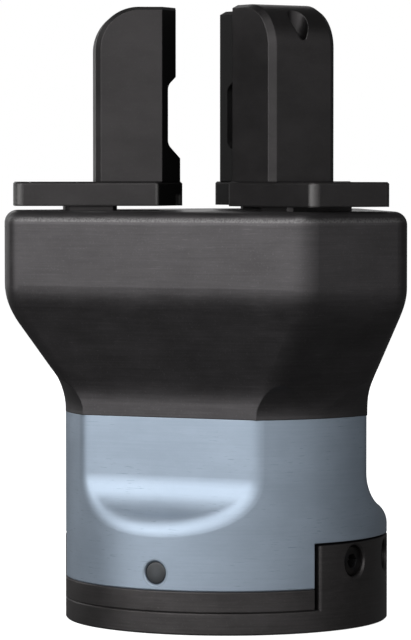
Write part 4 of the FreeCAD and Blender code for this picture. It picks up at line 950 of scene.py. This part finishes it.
HEAD_BLACK = BlackAnodise(
    "head_black_brushed", colour=(0.084, 0.08, 0.083), deep=(0.06, 0.057, 0.059), pale=(0.15, 0.144, 0.148),
    edge_colour=(0.18, 0.176, 0.176), edge_share=0.25, relief=0.3, scratches=0.35,
    # the paler speckled band just below the top is a painted highlight
    brushing=0.4, speckle=0.3, rubbed_and_highlight=(92.4 * MM, 93.7 * MM),
)
BASE_BLACK = BlackAnodise(
    "base_black_brushed", colour=(0.08, 0.075, 0.076), deep=(0.055, 0.052, 0.052), pale=(0.15, 0.144, 0.14),
    edge_colour=(0.16, 0.155, 0.152), edge_share=0.4, edge_radius=0.25 * MM, relief=0.25,
    scratches=0.4, brushing=0.45, speckle=0.25,
)
JAW_BLACK = BlackAnodise(
    "jaw_black_satin", colour=(0.052, 0.049, 0.05), deep=(0.04, 0.038, 0.0385), pale=(0.095, 0.092, 0.092),
    edge_colour=(0.13, 0.128, 0.128), edge_share=0.4, edge_radius=0.3 * MM, relief=0.15,
    scratches=0.1, brushing=0.12, speckle=0.18,
)
BODY_BLUE_GREY = BodyAnodise(
    "body_blue_grey_brushed", colour=(0.378, 0.454, 0.548), deep=(0.325, 0.394, 0.48),
    pale=(0.52, 0.58, 0.66), edge_colour=(0.55, 0.62, 0.7), edge_share=0.35, edge_radius=0.3 * MM,
    metallic=0.7, relief=0.22, scratches=0.6, brushing=0.3, speckle=0.14,
)
SCREW_BLACK = BlackOxide("screw_black_oxide")
GROUND_STEEL = TurnedMetal("steel_ground", colour=(0.56, 0.56, 0.57), deep=(0.4, 0.4, 0.41), roughness=0.25)
PLAIN_ALUMINIUM = TurnedMetal(
    "aluminium_turned", colour=(0.74, 0.74, 0.75), deep=(0.6, 0.6, 0.61), roughness=0.34, pitch=3600.0
)
PLATED_BRASS = TurnedMetal(
    "brass_plated", colour=(0.74, 0.66, 0.5), deep=(0.55, 0.47, 0.33), roughness=0.24, pitch=4200.0
)
COPPER = EnamelledWire("copper_enamelled")
BOARD_GREEN = SolderMask("board_solder_mask")
SEAL_RUBBER = MouldedRubber("rubber_seal")
MAGNET = PlatedMagnet("magnet_nickel")
LENS_SMOKE = SmokedWindow("lens_smoked")


def fit_screws(kinds: Dict[SocketScrew, List[Matrix]], name: str, body: str, node: str) -> None:
    """Models screws at their places and fits them as one piece.

    Args:
        kinds: the places of each kind of screw.
        name: the piece's name.
        body: the body that it rides on.
        node: the CAD node that it stands for.
    """
    screws = [screw for kind, places in kinds.items() for screw in kind.model().copies(places)]
    bpy.ops.object.select_all(action="DESELECT")
    for screw in screws:
        screw.select_set(True)
    bpy.context.view_layer.objects.active = screws[0]
    bpy.ops.object.join()
    screws[0].name = name
    fit(screws[0], SCREW_BLACK, body, "black_screw", node)


@dataclass
class MountingBase:
    """The flange with its two lugs, the base cover and what holds them."""

    lug_screw_angles: Tuple[float, ...] = (46.8, 73.2, 226.8, 253.2)
    lug_screw_spins: Tuple[float, ...] = (8.0, 37.0, 21.0, 52.0)
    seat_r: float = 32.5
    screw_z: float = 15.3

    def build(self) -> None:
        """Makes the lug screws."""
        places = [
            outward(angle, self.seat_r, self.screw_z, spin)
            for angle, spin in zip(self.lug_screw_angles, self.lug_screw_spins)
        ]
        fit_screws({LUG_SCREW: places}, "lug_screws", "housing", "flange_screws")

    def dress(self) -> None:
        """Finishes the flange and the cover."""
        dress_nodes(BASE_BLACK, "mounting_flange", "base_cover")
        dress_nodes(SCREW_BLACK, "base_cover_screws")
        dress_nodes(SEAL_RUBBER, "seals")


@dataclass
class Body:
    """The blue-grey shell with its window and its power socket, reaches in millimetres from the axis."""

    lens_r: float = 2.45
    guide_r: float = 1.5
    guide_start: float = 24.1
    window_start: float = 34.05
    lens_edge: float = 36.85
    lens_chamfer: float = 0.1
    lens_segments: int = 56
    dome: Outline = ((2.36, 0.09), (2.0, 0.12), (1.6, 0.15), (1.1, 0.175), (0.6, 0.19), (0.2, 0.195))
    socket_angle: float = 150.0
    socket_z: float = 15.2
    socket_back: float = 24.15
    socket_floor: float = 28.15
    socket_seat: float = 35.75
    socket_face: float = 37.05
    socket_segments: int = 64
    insert_h: float = 2.0
    barrel_r: float = 4.0
    flange_r: float = 5.0
    bore_r: float = 3.2
    wire_r: float = 2.4
    clearance: float = 0.02
    thread_pitch: float = 0.75
    thread_depth: float = 0.35
    bore_thread_depth: float = 0.3

    def lens(self) -> None:
        """Makes the window: a light guide that ends in a low dome."""
        cut = self.lens_chamfer
        outline = [
            (self.guide_r - cut, self.guide_start), (self.guide_r, self.guide_start + cut),
            (self.guide_r, self.window_start), (self.lens_r - cut, self.window_start),
            (self.lens_r, self.window_start + cut), (self.lens_r, self.lens_edge),
            *((radius, self.lens_edge + rise) for radius, rise in self.dome),
        ]
        bench = Bench("status_window")
        bench.turn(outline, self.lens_segments)
        bench.break_edges(0.05, angle=50.0)
        piece = bench.moved(outward(LENS_ANGLE, 0.0, LENS_Z))
        fit(piece, LENS_SMOKE, "housing", "smoked_lens", "status_lens")

    def socket(self) -> None:
        """Makes the power socket: a threaded barrel with a knurled flange."""
        seat, face, back = self.socket_seat, self.socket_face, self.socket_back
        wall = self.barrel_r - self.clearance
        outer = ((wall, 0.0), (wall - self.thread_depth, 0.5))
        inner = ((self.bore_r, 0.0), (self.bore_r + self.bore_thread_depth, 0.5))
        inside = rings(self.socket_floor + 2.6, face - 0.5, self.thread_pitch, inner)
        outline = [
            (self.wire_r, back), (self.barrel_r - 0.3, back),
            *rings(back + 0.3, seat - 1.5, self.thread_pitch, outer),
            (wall, seat), (self.flange_r - 0.1, seat), (self.flange_r, seat + 0.12),
            (self.flange_r, face - 0.2), (self.flange_r - 0.2, face), (self.bore_r + 0.3, face),
            *reversed(inside), (self.bore_r, self.socket_floor), (self.wire_r, self.socket_floor),
        ]
        bench = Bench("power_socket_barrel")
        bench.turn(outline, self.socket_segments, closed=True)
        bench.knurl(seat + 0.2, face - 0.3, width=0.06, depth=0.1)
        bench.break_edges(0.05, angle=40.0)
        piece = bench.moved(outward(self.socket_angle, 0.0, self.socket_z))
        fit(piece, PLATED_BRASS, "housing", "brass", "power_socket")

    def build(self) -> None:
        """Makes the new pieces."""
        self.lens()
        self.socket()

    def dress(self) -> None:
        """Finishes the shell and what goes through it."""
        insert = PinInsert("insert_pins", self.socket_angle, (self.socket_floor + self.insert_h) * MM)
        dress_nodes(BODY_BLUE_GREY, "body_housing")
        dress_nodes(insert, "socket_insert")
        dress_nodes(SCREW_BLACK, "tie_bolts")


@dataclass
class Head:
    """The flared black head, its top cover and the rails inside."""

    side_angles: Tuple[float, ...] = (-30.0, 90.0, 210.0)
    screw_reach: float = 30.25
    screw_spread: float = 10.0
    screw_spins: Tuple[Tuple[int, float], ...] = ((-1, 4.0), (1, 18.0))
    top_z: float = 94.8

    def build(self) -> None:
        """Makes the top cover's screws."""
        places = [
            jaw_frame(angle) @ upright(self.screw_reach, side * self.screw_spread, self.top_z, spin)
            for angle in self.side_angles for side, spin in self.screw_spins
        ]
        fit_screws({COVER_SCREW: places}, "cover_screws", "housing", "top_cover_screws")

    def dress(self) -> None:
        """Finishes the head and its cover."""
        dress_nodes(HEAD_BLACK, "head_housing", "top_cover")
        dress_nodes(GROUND_STEEL, "guide_rails")
        dress_nodes(SCREW_BLACK, "rail_screws")


@dataclass
class Jaw:
    """One finger on its plate, with what moves it, in its own frame in millimetres."""

    number: int
    angle: float
    plate_screw: Point = (34.4, 5.2, 98.8)
    plate_spin: float = 14.0
    side_spin: float = 9.0
    finger_screws: Tuple[float, ...] = (14.6, 22.0)
    finger_seat: float = 98.45
    rack_screws: Tuple[float, ...] = (30.4, 37.2)
    rack_seat: Tuple[float, float] = (9.66, 87.65)
    carriage_screw: Point = (41.0, 5.0, 89.0)
    carriage_spin: float = 20.0

    def places(self) -> Dict[SocketScrew, List[Matrix]]:
        """Where each kind of screw goes.

        Returns:
            The places of each kind.
        """
        over = Matrix.Rotation(math.pi, 4, "X")
        across = Matrix.Rotation(-math.pi / 2, 4, "X")
        x, y, z = self.plate_screw
        cx, cy, cz = self.carriage_screw
        spin = self.plate_spin * self.number
        found = {
            PLATE_SCREW: [upright(x, side * y, z, spin + self.side_spin * side) for side in (-1, 1)],
            FINGER_SCREW: [upright(out, 0.0, self.finger_seat) @ over for out in self.finger_screws],
            RACK_SCREW: [upright(out, *self.rack_seat) @ across for out in self.rack_screws],
            CARRIAGE_SCREW: [upright(cx, side * cy, cz, self.carriage_spin) for side in (-1, 1)],
        }
        return {kind: [jaw_frame(self.angle) @ place for place in places] for kind, places in found.items()}

    def build(self) -> None:
        """Makes the jaw's screws."""
        number = self.number
        fit_screws(self.places(), f"jaw_screw_set_{number}", f"jaw_{number}", f"jaw_screws_{number}")

    def dress(self) -> None:
        """Finishes the jaw's parts."""
        # faces turned towards the gripper's middle get painted shade
        inward = toward(self.angle, -1.0)
        finger = replace(JAW_BLACK, name=f"finger_black_satin_{self.number}", shade_toward=inward)
        # the plate's paler upright edges are painted glints
        plate = replace(
            finger, name=f"plate_black_satin_{self.number}", edge_share=6.0, edge_radius=0.7 * MM,
            edge_colour=(0.17, 0.167, 0.165), upright_glints=True, edge_bend=0.012,
        )
        dress_nodes(finger, f"finger_{self.number}")
        dress_nodes(plate, f"jaw_plate_{self.number}")
        dress_nodes(JAW_BLACK, f"jaw_slide_{self.number}")
        dress_nodes(GROUND_STEEL, f"carriage_{self.number}", f"rack_{self.number}")


@dataclass
class Drive:
    """The motor, the planetary gears and the pinion."""

    planet_r: float = 11.25

    def dress(self) -> None:
        """Finishes each part of the drive."""
        dress_nodes(
            GROUND_STEEL, "ring_gear", "output_bearings", "planet_carrier", "planet_pins", "drive_pinion",
            "motor_bearings", "motor_shaft", "sun_gear", "stator_core",
        )
        for number, angle in enumerate(JAW_ANGLES, 1):
            finish = TurnedMetal(
                f"steel_planet_{number}", colour=(0.5, 0.5, 0.51), deep=(0.36, 0.36, 0.37),
                centre=toward(angle, self.planet_r * MM),
            )
            dress_nodes(finish, f"planet_gear_{number}")
        dress_nodes(PLAIN_ALUMINIUM, "gearbox_flange", "motor_plate", "motor_can", "motor_end_bell")
        dress_nodes(SCREW_BLACK, "gearbox_screws", "pinion_screw")
        dress_nodes(COPPER, "stator_windings")
        dress_nodes(MAGNET, "rotor_magnet", "encoder_magnet")


@dataclass
class Electronics:
    """The boards in the base and the encoder's board."""

    def dress(self) -> None:
        """Finishes the boards and what holds them."""
        dress_nodes(BOARD_GREEN, "controller_board", "driver_board", "encoder_board")
        dress_nodes(PLATED_BRASS, "standoffs")
        dress_nodes(SCREW_BLACK, "board_screws")


@dataclass(frozen=True)
class SoftBox:
    """One soft white light: where it stands, what it points at and how much it gives."""

    name: str
    place: Point
    target: Point
    size: Tuple[float, float]
    power: float

    def build(self) -> None:
        """Adds the light."""
        light = bpy.data.lights.new(self.name, "AREA")
        light.shape = "RECTANGLE"
        light.size, light.size_y = self.size
        light.energy = self.power
        lamp = bpy.data.objects.new(self.name, light)
        lamp.location = self.place
        lamp.visible_camera = False
        aim = Vector(self.target) - Vector(self.place)
        lamp.rotation_euler = aim.to_track_quat("-Z", "Y").to_euler()
        bpy.context.scene.collection.objects.link(lamp)


@dataclass
class Studio:
    """The floor, the soft light and the camera of the photograph."""

    camera_distance: float = 0.840
    camera_height: float = 0.1035
    camera_angle: float = -4.6
    axis_px: float = 20.95
    horizon_px: float = 147.4
    focal_px: float = 3606.0
    sensor: float = 36.0
    clip: Tuple[float, float] = (0.01, 50.0)
    world_light: float = 0.075
    over: SoftBox = SoftBox(
        "over", place=(-0.4, -0.5, 0.95), target=(0.0, 0.0, 0.07), size=(0.7, 0.7), power=2.8
    )
    panel_size: Tuple[float, float] = (0.45, 0.9)
    panel_reach: float = 1.05
    panels: Tuple[Tuple[float, float], ...] = (
        (-135.0, 1.15), (-75.0, 2.8), (-50.0, 2.6), (-25.0, 2.2), (0.0, 1.55), (25.0, 1.1), (50.0, 0.85),
        (75.0, 0.2), (180.0, 0.8),
    )
    floor_size: float = 12.0
    floor_gap: float = 0.2 * MM

    def floor(self) -> None:
        """Lays the pale floor under the object."""
        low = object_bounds()[0]
        bpy.ops.object.select_all(action="DESELECT")
        bpy.ops.mesh.primitive_plane_add(size=self.floor_size, location=(0, 0, low[2] - self.floor_gap))
        floor = bpy.context.active_object
        floor.name = "floor"
        bpy.ops.object.transform_apply(location=True)
        floor.visible_glossy = False
        floor.visible_diffuse = False
        dress(floor, PaleFloor("floor_pale"))
        floor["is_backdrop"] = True

    def lights(self) -> None:
        """Adds the soft boxes and the room's even light."""
        width, height = self.panel_size
        boxes = [self.over]
        for number, (angle, glow) in enumerate(self.panels, 1):
            foot = toward(angle, self.panel_reach, height / 2)
            power = glow * math.pi * width * height
            boxes.append(SoftBox(f"panel_{number}", foot, (0.0, 0.0, height / 2), self.panel_size, power))
        for box in boxes:
            box.build()
        world = bpy.data.worlds.new("studio")
        bpy.context.scene.world = world
        world.use_nodes = True
        graph = Graph(world.node_tree)
        seen = graph.node("ShaderNodeLightPath", {}, {}, "Is Camera Ray")
        strength = self.world_light + seen * (1.0 - self.world_light)
        room = graph.node("ShaderNodeBackground", {}, {"Color": (1.0, 1.0, 1.0), "Strength": strength})
        graph.add("ShaderNodeOutputWorld", {}, {"Surface": room})

    def camera(self) -> None:
        """Sets the camera where the photograph was taken from."""
        lens = bpy.data.cameras.new("camera")
        lens.sensor_fit = "VERTICAL"
        lens.sensor_height = self.sensor
        lens.lens = self.focal_px / PHOTO_HEIGHT_PX * self.sensor
        lens.clip_start, lens.clip_end = self.clip
        camera = bpy.data.objects.new("camera", lens)
        camera.location = toward(self.camera_angle, self.camera_distance, self.camera_height)
        tilt = math.atan2(self.horizon_px, self.focal_px)
        pan = math.atan2(self.axis_px, self.focal_px)
        camera.rotation_euler = (math.pi / 2 - tilt, 0.0, math.radians(self.camera_angle) + pan)
        bpy.context.scene.collection.objects.link(camera)
        bpy.context.scene.camera = camera

    def build(self) -> None:
        """Makes the studio."""
        self.floor()
        self.lights()
        self.camera()
        bpy.context.scene.view_settings.view_transform = "Standard"
        bpy.context.scene.view_settings.look = "None"


def main() -> None:
    """Builds and finishes the gripper, then its studio."""
    logging.basicConfig(level=logging.INFO, format="%(name)s: %(message)s")
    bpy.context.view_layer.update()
    jaws = [Jaw(number, angle) for number, angle in enumerate(JAW_ANGLES, 1)]
    base, body, head = MountingBase(), Body(), Head()
    for part in (base, body, head, *jaws):
        part.build()
    for part in (base, body, head, *jaws, Drive(), Electronics()):
        part.dress()
    Studio().build()


if __name__ == "__main__":
    main()
